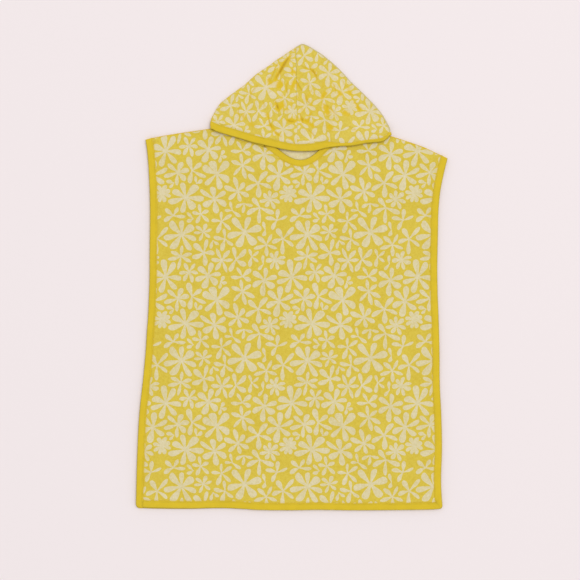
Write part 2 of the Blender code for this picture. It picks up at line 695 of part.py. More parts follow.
class HoodSide:
    """One side of the hood, as a surface read at v, from the face to the crown, and at a column."""

    def __init__(self, side):
        self.side = side
        self.outline = hood_outline[side]
        middle = hood_seam.at(0.0)
        shares = np.linspace(0, 1, 400)
        centre = shares[np.argmin([np.linalg.norm(hood_face.at(s) - middle) for s in shares])]
        self.face_from, self.face_to = (centre, 0.0) if side < 0 else (centre, 1.0)
        self.root = self.root_line()
        round_it = [self.root.points, self.outline.points[::-1], self.root.points[:1]]
        self.hidden = Line(np.vstack(round_it))
        self.columns = UPPER_COLUMNS + FOLD_COLUMNS + LOWER_COLUMNS

    def root_line(self):
        """Where the hidden layer ends: up the front neckline, round the shoulder and along the back."""
        side = self.side
        clear = NECK_TAPE + ROOT_CLEAR
        at = FRONT_CORNER[side] if side < 0 else 1 - FRONT_CORNER[side]
        ends = (at, 0.0) if side < 0 else (at, 1.0)
        front = []
        for share in np.linspace(*ends, 14):
            front.append(front_neck.at(share) - left_of(front_neck.heading(share)) * clear)
        shoulder = left_shoulder if side < 0 else right_shoulder
        past = (NECK_END + TURN_CLEAR) / shoulder.length
        turn = shoulder.at(1 - past if side < 0 else past) + np.array([0.0, TURN_LIFT])
        front = [p for p in front if p[1] < turn[1] - TURN_ROOM] + [turn]
        back = back_neck.part(0.0 if side < 0 else 1.0, 0.5)
        lift = np.array([0.0, ROOT_CLEAR])
        back = [p + lift for p in back if abs(p[0] - SEAM_X) > SEAM_ROOM]
        seam = [p for p in hood_seam.points if p[1] > NAPE]
        nape = np.array([np.interp(NAPE, hood_seam.points[:, 1], hood_seam.points[:, 0]), NAPE])
        self.turn_run = Line(front).length
        self.nape_run = Line(front + back + [nape]).length
        return Line(front + back + [nape] + seam)

    def root_at(self, v):
        rows = [0.0, SHOULDER_ROW, NAPE_ROW, 1.0]
        run = np.interp(v, rows, [0.0, self.turn_run, self.nape_run, self.root.length])
        return self.root.at(run / self.root.length)

    def taped(self, v):
        """1 under the face tape, by the distance along the seam."""
        return pressed(v * hood_seam.length, HOOD_TAPE)

    def shown_tape(self, column, x):
        """The width of the face tape on the outside of the hood, which is rolled under at the right."""
        if self.side < 0:
            return HOOD_TAPE
        if column <= UPPER_COLUMNS:
            return mix(HOOD_TAPE, ROLLED_TAPE, ease((x - ROLL_FROM) / (ROLL_FULL - ROLL_FROM)))
        hidden = (column - UPPER_COLUMNS - FOLD_COLUMNS) / LOWER_COLUMNS
        return mix(ROLLED_TAPE, HOOD_TAPE, ease(hidden * 1.5))

    def outward(self, v):
        """Square to the outline in plan, and straight up the seam at the crown."""
        across = self.outline.heading(v) if v < 1 else np.array([float(-self.side), 0.0])
        normal = left_of(across) * (1 if self.side < 0 else -1)
        up_seam = np.array([0.0, 1.0])
        return unit(mix(normal, up_seam, ease((v - CROWN_ROW) / (1 - CROWN_ROW))))

    def fold_centre(self, v):
        half = mix(CLOTH / 2, NOSE, self.taped(v))
        return self.outline.at(v) - (self.radius(v) + half) * self.outward(v)

    def radius(self, v):
        return mix(FOLD_RADIUS, FOLD_RADIUS_TAPED, self.taped(v))

    def seam_at(self, v):
        """The seam, which ends at the fold over the crown."""
        end = self.fold_centre(1.0)
        whole = hood_seam.at(v)
        short = mix(hood_seam.at(0.0), end, v)
        return mix(whole, short, ease(v)) + np.array([self.side * GAP / 2, 0.0])

    def middle_level(self, v):
        shares = [row.share for row in HOOD_MIDDLE]
        levels = [row.level for row in HOOD_MIDDLE]
        return np.interp(v, shares, levels)

    def upper_plan(self, v, f):
        seam = self.seam_at(v)
        fold = self.fold_centre(v)
        straight = mix(self.seam_at(0.0), self.outline.at(0.0), f)
        face = hood_face.at(mix(self.face_from, self.face_to, f))
        sag = (face - straight) * (1 - v) ** 1.5
        return mix(seam, fold, f) + sag * (1 if f < 1 else 0)

    def upper_level(self, v, f, point):
        fold = self.fold_centre(v)
        at_fold = ground(fold) + 2 * self.radius(v)
        away = np.linalg.norm(point - fold) / FOLD_EASE
        level = mix(at_fold, self.middle_level(v), ease(away) if v < 1 else 0.0)
        level += creased(HOOD_CREASES, point) * ease(away * 1.5) * (1 - 0.7 * self.taped(v))
        half = mix(CLOTH / 2, NOSE, self.taped(v))
        below = ground(point) + 2 * half + tuck(point) + GAP
        below = mix(below, 0.0, ease(self.past_hidden(point) / NECK_SAG))
        if f >= 1:
            return at_fold
        return soft_max(level, below)

    def past_hidden(self, point):
        """How far a place lies past the edge of the hidden layer, or 0 over it."""
        return 0.0 if self.hidden.surrounds(point) else self.hidden.distance(point)

    def read(self, v, column):
        """The middle of the wall there, its outward direction, and its halves outside and inside."""
        taped = self.taped(v)
        half = mix(CLOTH / 2, NOSE, taped)
        thin = mix(CLOTH / 2, PRESSED / 2, taped)
        fold = self.fold_centre(v)
        if column <= UPPER_COLUMNS:
            f = column / UPPER_COLUMNS
            p = self.upper_plan(v, f)
            middle = np.array([*p, self.upper_level(v, f, p) + half])
            out = np.array([0.0, 0.0, 1.0])
            inner = thin
        elif column < UPPER_COLUMNS + FOLD_COLUMNS:
            angle = math.pi * (0.5 - (column - UPPER_COLUMNS) / FOLD_COLUMNS)
            out = np.array([*(self.outward(v) * math.cos(angle)), math.sin(angle)])
            middle = np.array([*fold, ground(fold) + half + self.radius(v)]) + self.radius(v) * out
            inner = thin
        else:
            g = (column - UPPER_COLUMNS - FOLD_COLUMNS) / LOWER_COLUMNS
            p = mix(fold, self.hidden_root(v), g)
            middle = np.array([*p, ground(p) + half])
            out = np.array([0.0, 0.0, -1.0])
            inner = thin + (tuck(p) if g > 0 else 0.0)
        pressed_here = pressed(v * hood_seam.length, self.shown_tape(column, middle[0]))
        return middle, out, mix(CLOTH - thin, thin, pressed_here), inner

    def hidden_root(self, v):
        """Where the hidden layer's row ends: on the neckline, or past the nape under the seam."""
        if v < NAPE_ROW:
            return self.root_at(v)
        nape = np.array([self.seam_at(v)[0], NAPE])
        crown = np.array([self.seam_at(1.0)[0], self.fold_centre(1.0)[1]])
        return mix(nape, crown, (v - NAPE_ROW) / (1 - NAPE_ROW))

    def rows(self):
        rows = [d / hood_seam.length for d in NEAR_FACE]
        for end, count in zip((SHOULDER_ROW, NAPE_ROW, CROWN_ROW), HOOD_ROWS):
            rows += list(np.linspace(rows[-1], end, count + 1)[1:])
        return rows + list(CROWN_ROWS)

    def build(self, name):
        outside = []
        inside = []
        for v in self.rows():
            outside.append([])
            inside.append([])
            for column in range(self.columns + 1):
                middle, out, outer, inner = self.read(v, column)
                outside[-1].append(middle + out * outer)
                inside[-1].append(middle - out * inner)
        return wall(name, outside, inside, YELLOW_PRINT)

    def face_sections(self):
        """The face tape along this side, from the seam to the hidden front corner."""
        sections = []
        for column in range(self.columns + 1):

            def place(depth, height):
                middle, out, _, _ = self.read(depth / hood_seam.length, column)
                return middle + height * out

            x = self.read(0.0, column)[0][0]
            sections.append(tape_section(place, self.shown_tape(column, x), HOOD_TAPE, True))
        return sections


def make_hood():
    left = HoodSide(-1)
    right = HoodSide(1)
    left.build("hood_left")
    right.build("hood_right")
    tape("hood_binding", left.face_sections()[:0:-1] + right.face_sections()[1:])


# ---- The whole garment -------------------------------------------------------------------------
def main():
    for old in list(bpy.data.objects):
        bpy.data.objects.remove(old, do_unlink=True)
    make_panel("back_panel", back_neck, back_hem, 0.0, 0.0, False, [], BACK_GRID, CREAM_PRINT)
    levels = (FRONT_LEVEL, FRONT_TAPE_LEVEL)
    cut_neck = front_neck.shifted(-NECK_INSET)
    make_panel("front_panel", cut_neck, front_hem, *levels, True, FRONT_WAVES, FRONT_GRID, YELLOW_PRINT)
    for layer, hem, level in (("back", back_hem, 0.0), ("front", front_hem, FRONT_TAPE_LEVEL)):
        left_in = left_shoulder.at(EDGE_TAPE / left_shoulder.length)
        right_in = right_shoulder.at(1 - EDGE_TAPE / right_shoulder.length)
        side_tape(f"side_binding_{layer}_left", left_side, left_in, hem, 1.0, level)
        side_tape(f"side_binding_{layer}_right", right_side, right_in, hem, -1.0, level)
        hem_tape(f"hem_binding_{layer}", hem, level)
    make_neck_tape()
    make_hood()


main()
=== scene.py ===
"""A child's hooded bath poncho, laid out flat: printed terry, folded tape and topstitching.

The file is laid out as an add-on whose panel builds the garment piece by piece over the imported
solids. It lies on z = 0 with its hood towards +Y. Lengths in the tables are millimetres.
"""

import collections
import functools
import math

import bpy
import numpy as np
from bpy.props import FloatProperty, FloatVectorProperty, IntProperty, PointerProperty
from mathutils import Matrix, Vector
from mathutils.bvhtree import BVHTree
from mathutils.geometry import delaunay_2d_cdt


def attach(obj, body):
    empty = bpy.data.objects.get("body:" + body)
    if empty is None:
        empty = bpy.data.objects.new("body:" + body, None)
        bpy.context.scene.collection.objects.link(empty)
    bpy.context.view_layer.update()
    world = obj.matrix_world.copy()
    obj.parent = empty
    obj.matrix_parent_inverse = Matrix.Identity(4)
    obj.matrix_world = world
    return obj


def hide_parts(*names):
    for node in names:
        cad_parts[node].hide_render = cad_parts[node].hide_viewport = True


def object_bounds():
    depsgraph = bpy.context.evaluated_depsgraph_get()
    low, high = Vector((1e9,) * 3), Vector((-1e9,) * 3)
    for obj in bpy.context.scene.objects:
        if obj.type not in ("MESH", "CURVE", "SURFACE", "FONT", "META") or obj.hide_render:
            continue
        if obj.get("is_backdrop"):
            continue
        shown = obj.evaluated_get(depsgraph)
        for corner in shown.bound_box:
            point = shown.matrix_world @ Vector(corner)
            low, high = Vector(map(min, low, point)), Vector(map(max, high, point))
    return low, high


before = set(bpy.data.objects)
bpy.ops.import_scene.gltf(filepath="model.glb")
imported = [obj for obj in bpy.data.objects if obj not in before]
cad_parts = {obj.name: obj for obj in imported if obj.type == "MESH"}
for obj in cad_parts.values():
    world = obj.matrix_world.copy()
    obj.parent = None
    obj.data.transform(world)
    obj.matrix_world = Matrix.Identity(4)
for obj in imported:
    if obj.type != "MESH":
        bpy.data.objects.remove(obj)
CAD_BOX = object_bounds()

bl_info = {
    "name": "Hooded bath poncho",
    "version": (1, 0, 0),
    "blender": (4, 5, 0),
    "location": "View3D > Sidebar > Poncho",
    "description": "Builds a laid-out hooded bath poncho in printed terry with folded tape",
    "category": "Object",
}

MM = 0.001
TINY = 1e-12  # keeps a length of nothing from dividing by zero
SLIVER = 1e-9  # the least area that a triangle of the cut is taken to have
CAP_MERGE = 1e-5  # corners of a tape's section this close become one in its cap
HEADING_STEP = 2.0  # a line's heading is read over this to either side

# ---- Cloth and tape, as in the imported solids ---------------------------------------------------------
CLOTH = 2.4
GAP = 0.3
TAPE = 1.0  # one layer of a folded tape
PRESSED = 1.0  # the cloth inside a tape
TAPE_HIGH = 2 * TAPE + 2 * GAP + PRESSED
NOSE = TAPE_HIGH / 2  # the radius of a tape's fold
EDGE_TAPE = 14.0  # the tapes' widths
NECK_TAPE = 13.0
HOOD_TAPE = 14.0
INSET = 2.8  # from a tape's fold to the cloth's edge inside it
NECK_INSET = 3.3
NECK_TRIM = 4.1  # how far short of the neck the front's shoulder seams stop
NECK_END = 15.7  # how far along the shoulder the neck tape's ends reach
PRESS_PAST = 1.5  # pressed cloth starts to rise so far past a tape, and is at its full height over EASE
EASE = 11.0
PILE_BEFORE = 0.4  # the pile starts to spring up so far before a tape's edge
PILE_EASE = 4.2
FRONT_LEVEL = CLOTH + GAP
FRONT_TAPE_LEVEL = TAPE_HIGH + GAP
NECK_TAPE_LEVEL = FRONT_LEVEL
HOOD_LEVEL = FRONT_LEVEL + CLOTH + 2 * GAP
DROP_FROM = 4.0  # past the front's edge the hood's hidden layer drops to the floor, over DROP
DROP = 22.0

# ---- Outlines, seen from above -----------------------------------------------------------------------
LEFT_SIDE = [
    (-306.8, -452.0), (-306.1, -418.0), (-304.2, -349.7), (-300.9, -281.0), (-297.2, -240.8),
    (-292.2, -197.1), (-287.6, -146.1), (-285.0, -105.0), (-282.6, -73.4), (-280.0, -5.5),
    (-279.7, 49.6), (-278.9, 132.0), (-280.8, 195.9), (-284.2, 243.9), (-287.9, 270.3),
]
RIGHT_SIDE = [
    (296.6, -456.0), (293.8, -400.0), (295.7, -336.0), (294.2, -270.0), (291.2, -210.0),
    (290.8, -150.0), (289.3, -88.0), (287.2, -33.0), (286.4, 22.0), (287.5, 77.0), (288.5, 126.0),
    (291.2, 160.0), (295.6, 187.0), (301.5, 213.0), (306.6, 233.5),
]
FRONT_HEM = [
    (-306.8, -452.0), (-270.0, -453.7), (-205.0, -454.9), (-150.0, -453.9), (-120.0, -454.5),
    (-92.0, -456.3), (-62.0, -458.2), (0.0, -458.8), (56.0, -457.9), (130.0, -458.9),
    (260.0, -457.6), (296.6, -456.0),
]
BACK_HEM = [
    (-306.8, -454.4), (-270.0, -455.9), (-205.0, -456.5), (-150.0, -455.2), (-120.0, -455.6),
    (-92.0, -457.0), (-62.0, -458.5), (0.0, -458.9), (56.0, -458.0), (130.0, -458.9),
    (260.0, -457.6), (296.6, -456.0),
]
LEFT_SHOULDER = [(-287.9, 270.3), (-262.7, 276.6), (-211.4, 285.2), (-163.8, 291.9), (-82.1, 305.3)]
RIGHT_SHOULDER = [
    (104.7, 301.3), (150.0, 291.5), (197.6, 277.2), (243.8, 261.9), (262.1, 255.2), (283.9, 244.8),
    (306.6, 233.5),
]
FRONT_NECK = [
    (-82.1, 305.3), (-58.5, 280.7), (-38.8, 262.4), (-8.2, 239.4), (16.0, 231.2),
    (38.3, 238.2), (63.4, 260.0), (83.1, 280.4), (104.7, 301.3),
]
BACK_NECK = [(-82.1, 305.3), (-40.0, 297.0), (10.3, 293.5), (60.0, 295.5), (104.7, 301.3)]
HOOD_FACE = [
    (-159.8, 290.3), (-147.8, 284.4), (-107.7, 273.0), (-75.0, 263.4), (-41.2, 256.2), (-15.0, 250.6),
    (10.3, 247.4), (45.0, 248.4), (68.4, 253.8), (93.5, 257.2), (122.0, 258.6), (150.0, 263.8),
    (182.0, 267.6), (196.8, 278.9),
]
HOOD_LEFT_OUTLINE = [
    (-159.8, 290.3), (-159.2, 309.4), (-143.6, 338.9), (-126.8, 353.8), (-107.6, 368.4), (-91.4, 380.2),
    (-69.6, 399.9), (-47.0, 415.2), (-31.2, 427.2), (-20.0, 434.3), (-3.0, 445.8), (8.4, 453.8),
]
HOOD_RIGHT_OUTLINE = [
    (196.8, 278.9), (189.9, 299.8), (173.4, 327.3), (143.3, 359.5), (117.2, 384.4), (103.3, 400.1),
    (87.0, 416.2), (69.6, 431.0), (52.2, 443.7), (24.1, 459.1), (8.4, 453.8),
]
HOOD_SEAM = [(10.3, 247.4), (10.6, 300.0), (9.6, 370.0), (8.4, 430.0), (8.4, 453.8)]
NAPE = 294.1  # where the back's neckline crosses the hood's seam

# ---- The panels' grids and surfaces ------------------------------------------------------------------
PANEL_HIGH = 735.0  # the height that a panel's rows are spaced by
PANEL_SPACING = {"back": 9.0, "front": 8.0}  # the widest step of a panel's grid
INSIDE_TAPE = (INSET, 9.0)  # lines of the grid in from an edge, and on past its tape
BESIDE_TAPE = (0.5, 3.0, 6.0, PRESS_PAST + EASE)
NECK_COLUMNS = (NECK_END + EASE, NECK_END + 5.0, NECK_END + 1.0, 0.0)  # out from the ends of the neckline
SEAM_ROWS = (27.0, 22.0, 18.0, 14.0, 10.0, 6.0, 3.2, 2.4, 1.6, 0.9, 0.35, 0.08, 0.0)  # below the shoulder
SEAM_KEPT = 0.08  # the share of the cloth's height that is kept at its seam
CORNER_RADIUS = 6.0
CORNER_IN = 0.3 * CORNER_RADIUS + 0.85 * INSET  # from the rounded tape's corner to the cloth's
PRESS_SHADE = 0.5  # how strong the painted shade is beside a tape, and at a shoulder seam
SEAM_SHADE = 1.6
SEAM_SHADE_WIDE = 1.8
PUCKER_HIGH = 0.22  # the cloth's puckers along the stitching: their height, middle and spread
PUCKER_AT = 5.0
PUCKER_SPREAD = 9.0
LIE_HIGH = 0.35  # the lie of the free cloth, and how far from a tape it is at its full height
LIE_EASE = 30.0

# ---- Tapes and stitches ------------------------------------------------------------------------------
# A tape's outer side: shares of the way from its nose to its stitching, then distances back from its
# edge, each with a height over the nose.
TAPE_SWELL = [(0.0, 0.0), (0.28, 0.10), (0.55, 0.12), (0.78, 0.05), (1.0, -0.22)]
TAPE_EDGE = [(1.6, -0.02), (0.8, 0.02), (0.2, -0.22), (0.0, -0.6)]
LINING_IN = 0.15  # from a leg's end to where its inner side starts
STITCH_IN = 2.2  # from a tape's inner edge to its stitching
STITCH_SUNK = 0.16  # how deep the thread lies in the tape
TAPE_STEP = 4.5  # between a tape's stations, and at the neck
NECK_STEP = 3.0
NECK_SHARE = 0.02  # of the neck's length, from each end to the first station between
NOSE_STEPS = 8
CORNER_STEPS = 6
CORNER_PAST = 4.0  # from a rounded corner's tape to the first station on the straight
SHOULDER_PAST = 8.0
MITRE_ON = 1.4  # how far a mitred tape's inner corner runs on while its fold goes round
HOOD_TAPE_STEPS = 14

# ---- The hood's layers -------------------------------------------------------------------------------
HOOD_STEPS = (104, 10, 18)  # columns on the upper layer, round the turn and on the hidden layer
HOOD_ROW = 1.9  # the widest step between rows
CROWN_ROWS = [0.9, 0.96, 0.985, 1.0]
HOOD_CROWD = 1.25  # how the columns crowd towards the hood's seam
FRONT_CORNER = {-1: 0.235, 1: 0.225}  # how far in along the front neckline each side's corner lies
ROOT_CLEAR = 0.6  # from the tape and the back's neckline to where the hidden layer ends
SHOULDER_CLEAR = (1.0, 0.7)  # the same at the shoulder, along it and up from it
NAPE_CLEAR = 0.2
ROOT_PLACES = (14, 30)  # how many places its end is read at, on the front's neckline and on the back's
SHOULDER_BEND = 3.0  # how far below the shoulder the hidden layer's end leaves the neckline
SHOULDER_ROW = 0.21  # the rows that end at the shoulder and at the nape, as shares of the height
NAPE_ROW = 0.50
FOLD_RADIUS = 1.6  # of the turn round the outline, and of its taped end
FOLD_RADIUS_TAPED = 2.2
FOLD_EASE = 45.0  # from the outline to where the hood stands at its full height
CREASE_SOONER = 1.5  # how many times sooner the main creases and the small ones are at theirs
SMALL_SOONER = 2.5
TAPE_FLATTENS = 0.7  # how much of the main creases is lost in the tape
CROWN_TURN = 0.93  # from this share of its height the outline turns square to the seam
FACE_FADE = 1.5  # how fast the face's curve fades up the hood
NECK_SAG = 22.0  # past the hidden layer the upper one sinks freely over this
TUCK_HIGH = 4.0  # the gathered slack of the hidden layer: its height, middle and reach
TUCK_AT = (10.0, 336.0)
TUCK_HALF = (76.0, 38.0)
ROLLED_TAPE = 5.2  # what shows of the face tape where it is rolled under, and where that starts and ends
ROLL_FROM = 58.0
ROLL_FULL = 98.0
UNROLLS = 1.5  # how many times sooner than the hidden layer ends it is at its full width again
SEAM_DIP = 0.35  # how deep the hood's seam lies in the pile
SEAM_DIP_HALF = 1.0
HOOD_MIDDLE_SHARE = [0.00, 0.12, 0.25, 0.45, 0.65, 0.80, 0.92, 1.00]  # of the way up the hood's middle
HOOD_MIDDLE_LEVEL = [7.5, 7.8, 8.7, 9.0, 8.2, 6.8, 4.8, 2 * FOLD_RADIUS]
RUMPLED = 0.65  # the hood's small hollows: their depth, middle and reach
RUMPLED_AT = (18.0, 352.0)
RUMPLED_HALF = (88.0, 66.0)
HOLLOW_SINKS = 0.8  # how far a hollow of depth 1 goes down
DEEPEST = 2.0
TURN_SHADE = {-1: 0.3, 1: -1.0}  # painted shade round the hood's left turn, and a greyish cream round the right

CREASE_ENDS = 0.6  # how much a crease sinks at its ends, and how sharp it is across
CREASE_SHARP = 1.6
GROOVE_DEEP = 0.6  # a fold's groove, as a share of its rise, and how far out it lies, in widths
GROOVE_AT = 1.6
FOLD_ENDS = 0.7  # the power that a fold's rise from its ends is taken to
Crease = collections.namedtuple("Crease", "x1 y1 x2 y2 rise width")
HOOD_CREASES = [  # ridges, and troughs where rise is negative
    Crease(-8, 430, -26, 385, -2.6, 5.5),
    Crease(0, 428, -12, 376, 1.6, 6.0),
    Crease(-27, 419, -41, 380, 1.1, 7.0),
    Crease(-17, 368, -15, 337, -2.0, 7.0),
    Crease(34, 416, 55, 384, -1.4, 6.0),
    Crease(22, 412, 38, 372, 1.1, 7.0),
    Crease(11, 372, 31, 326, -1.3, 6.0),
    Crease(-3, 326, -15, 275, -1.2, 6.0),
    Crease(23, 314, 17, 268, -1.0, 6.0),
    Crease(76, 330, 120, 294, 1.1, 13.0),
    Crease(-104, 330, -56, 292, 1.0, 13.0),
    Crease(112, 286, 168, 300, 0.9, 8.0),
]
Fold = collections.namedtuple("Fold", "rise wide steep route")
HOOD_FOLDS = [  # finer ones, each a swelling with a groove along the right of its route
    Fold(2.6, 8.0, 2.1, [(4, 437), (-7, 426), (-14, 414), (-19, 404), (-25, 396), (-31, 384)]),
    Fold(1.3, 7.0, 1.8, [(-20, 426), (-29, 412), (-35, 397), (-44, 386)]),
    Fold(1.8, 7.0, 1.4, [(36, 411), (44, 405), (50, 394), (51, 384)]),
    Fold(1.2, 6.0, 1.5, [(20, 417), (30, 412), (41, 411)]),
    Fold(1.5, 7.0, 1.5, [(10, 390), (15, 378), (24, 364)]),
    Fold(1.2, 6.0, 1.5, [(28, 362), (31, 350), (39, 341)]),
    Fold(1.3, 8.0, 1.8, [(-4, 388), (-8, 372), (-5, 358)]),
    Fold(1.6, 8.0, 1.8, [(-32, 350), (-27, 340), (-22, 324)]),
    Fold(1.3, 6.0, 1.5, [(-14, 314), (-3, 308), (11, 309)]),
    Fold(1.4, 6.0, 1.5, [(16, 324), (22, 312), (24, 300)]),
    Fold(1.3, 6.0, 1.5, [(45, 328), (38, 318), (33, 303)]),
    Fold(1.6, 6.0, 1.4, [(-44, 318), (-42, 306), (-36, 292)]),
    Fold(1.3, 6.0, 1.4, [(-34, 290), (-26, 281), (-14, 276)]),
    Fold(1.3, 5.0, 1.4, [(-10, 275), (0, 271), (10, 270)]),
    Fold(1.2, 6.0, 1.5, [(28, 294), (40, 286), (49, 274)]),
    Fold(1.1, 6.0, 1.5, [(80, 384), (86, 376), (88, 361)]),
    Fold(1.1, 8.0, 1.8, [(60, 344), (79, 332), (90, 318)]),
    Fold(1.0, 9.0, 2.0, [(-62, 380), (-76, 362), (-82, 342)]),
    Fold(1.0, 8.0, 2.0, [(-96, 344), (-102, 326), (-98, 308)]),
    Fold(1.0, 9.0, 2.0, [(118, 356), (132, 338), (140, 318)]),
    Fold(0.9, 7.0, 1.8, [(106, 300), (124, 292), (146, 290)]),
    Fold(0.9, 6.0, 1.5, [(100, 392), (108, 378), (120, 372)]),
    Fold(0.8, 6.0, 1.6, [(-58, 352), (-52, 340), (-53, 328)]),
]
HOOD_HOLLOWS = [  # where the cloth sinks, with painted shade in each hollow
    Crease(-4, 431, -17, 416, 1.0, 7.0),
    Crease(-17, 417, -26, 402, 0.9, 6.0),
    Crease(-25, 399, -35, 384, 0.7, 4.5),
    Crease(-23, 384, -27, 371, 1.0, 6.5),
    Crease(-46, 391, -40, 379, 0.8, 5.5),
    Crease(5, 386, 2, 371, 0.8, 5.5),
    Crease(2, 451, 8, 446, 0.8, 4.0),
    Crease(-1, 406, 9, 401, 0.8, 5.0),
    Crease(37, 408, 48, 402, 0.8, 4.5),
    Crease(-31, 338, -20, 330, 1.0, 7.0),
    Crease(-20, 344, -17, 334, 0.8, 6.0),
    Crease(-8, 308, 6, 307, 1.1, 5.5),
    Crease(15, 311, 34, 305, 1.0, 4.5),
    Crease(34, 302, 44, 296, 0.8, 5.0),
    Crease(-42, 300, -34, 288, 1.0, 4.5),
    Crease(-33, 284, -24, 280, 0.8, 4.0),
    Crease(-8, 274, 4, 270, 0.7, 4.0),
    Crease(59, 352, 68, 364, 0.9, 5.5),
    Crease(64, 337, 72, 318, 0.9, 6.0),
    Crease(91, 366, 99, 357, 0.8, 5.5),
    Crease(111, 369, 118, 357, 0.7, 5.0),
    Crease(101, 326, 113, 318, 0.8, 6.0),
    Crease(127, 335, 138, 329, 0.7, 5.0),
    Crease(71, 298, 80, 290, 1.1, 6.0),
    Crease(-97, 321, -92, 309, 0.7, 5.0),
    Crease(-50, 322, -45, 315, 0.7, 6.0),
    Crease(-84, 303, -72, 296, 0.6, 6.0),
    Crease(100, 272, 132, 270, 0.6, 7.0),
]
HOOD_BROAD_SHADE = [  # the broad part of the hood that is painted in a light shade all over
    Crease(-10, 410, 20, 300, 0.12, 60.0),
    Crease(60, 390, 100, 310, 0.12, 50.0),
]
FRONT_WAVES = [  # how the front lies, in long low swellings
    Crease(-285, -186, 285, -192, 0.7, 12.0),
    Crease(-180, 170, -120, -60, 0.9, 34.0),
    Crease(40, 130, 90, -120, 1.1, 40.0),
    Crease(200, 60, 180, -130, 0.8, 30.0),
    Crease(-90, -250, -40, -400, 0.9, 34.0),
    Crease(150, -260, 190, -400, 0.8, 30.0),
]

# ---- The print ---------------------------------------------------------------------------------------
Kind = collections.namedtuple("Kind", "count fewest most reach width widest blunt uneven hub")
FLOWERS = [  # how many in one repeat, petals, reach and width of a petal, where it is widest, its tip
    Kind(5, 6, 7, 35.0, 12.2, 0.74, 2.8, 0.24, 3.0),
    Kind(5, 6, 6, 31.0, 11.2, 0.70, 2.4, 0.22, 2.6),
    Kind(5, 5, 6, 27.0, 9.8, 0.66, 1.9, 0.22, 2.2),
    Kind(4, 5, 6, 26.0, 8.0, 0.58, 1.4, 0.18, 1.8),
    Kind(3, 7, 8, 20.0, 8.4, 0.66, 2.2, 0.16, 4.6),
    Kind(4, 4, 5, 30.0, 9.6, 0.68, 1.9, 0.26, 1.8),
    Kind(3, 5, 6, 21.0, 7.4, 0.62, 1.8, 0.20, 2.0),
]
FILLERS = [  # what goes into the ground that is left
    Kind(6, 4, 5, 24.0, 8.0, 0.64, 1.8, 0.25, 1.6),
    Kind(8, 3, 4, 20.0, 7.4, 0.62, 1.8, 0.25, 1.4),
    Kind(8, 3, 3, 16.0, 6.8, 0.60, 1.8, 0.25, 1.2),
    Kind(6, 2, 2, 16.0, 6.8, 0.60, 1.8, 0.25, 1.2),
]
PETAL_STEPS = np.array([0.0, 0.25, 0.45, 0.6, 0.74, 0.86, 0.95, 1.0])
PETAL_FOOT = 1.0  # from the flower's middle to where its petals start
PETAL_NECK = 0.26  # a petal's width at its foot, as a share of its widest
PRINT_GAP = 2.4  # the least ground between two flowers
PRINT_NEAR = 7.0  # how close a flower is drawn to its neighbours
PRINT_TURNS = 14  # the ways round in which a flower is tried
PRINT_MERGE = 0.02  # places on the print nearer than this are one
PETAL_TURN = 0.09  # how far a petal strays in its angle, its bend and its slant
PETAL_BEND = 0.14
PETAL_SLANT = 0.4
PETAL_SLOTS = 5  # a flower with fewer petals leaves gaps between them
HUB_SIDES = 7
PRINT_SHIFT = {  # how far along and up the repeat starts on each cloth
    "back": (70, 20), "front": (0, 0), "hood_left": (30, 80), "hood_right": (120, 190),
}

# ---- Flat sizes, light and camera, in metres ---------------------------------------------------------
RIB = 0.0013  # from one rib of the tape to the next
TAPE_MIDDLE = 0.0068  # from a tape's fold to its middle
FLOOR_HALF = 4
FLOOR_LEVEL = -0.0002
SURROUNDINGS_TINT = (1.0, 0.985, 0.985, 1.0)
WINDOW_SIZE = 6.0  # the soft light above
WINDOW_AT = (2.8, 3.0, 10.8)
FRAME_WIDE = 1.141  # what the picture shows across, at the height of the cloth
FRAME_HIGH = 0.006
CAMERA_OVER = (-0.00344, -0.0252)
LENS = 85.0  # millimetres, as is the sensor
SENSOR = 36.0


# ---- Curves ------------------------------------------------------------------------------------------
def ease(t):
    """0 up to t = 0, 1 from t = 1 on, and smooth between them."""
    t = np.clip(t, 0.0, 1.0)
    return t * t * (3 - 2 * t)


def mix(a, b, t):
    """a at t = 0 and b at t = 1."""
    return a + (b - a) * t


def between(a, b, t):
    """mix, for places."""
    return a + (b - a) * np.asarray(t)[..., None]


def unit(vector):
    return vector / np.maximum(np.linalg.norm(vector, axis=-1, keepdims=True), TINY)


def left_of(heading):
    """The way to the left of a heading."""
    return np.stack([-heading[..., 1], heading[..., 0]], axis=-1)


def cross(a, b):
    return a[..., 0] * b[..., 1] - a[..., 1] * b[..., 0]


def with_height(plan, height):
    """Places in plan with a height each."""
    return np.concatenate([plan, np.broadcast_to(height, plan.shape[:-1])[..., None]], axis=-1)


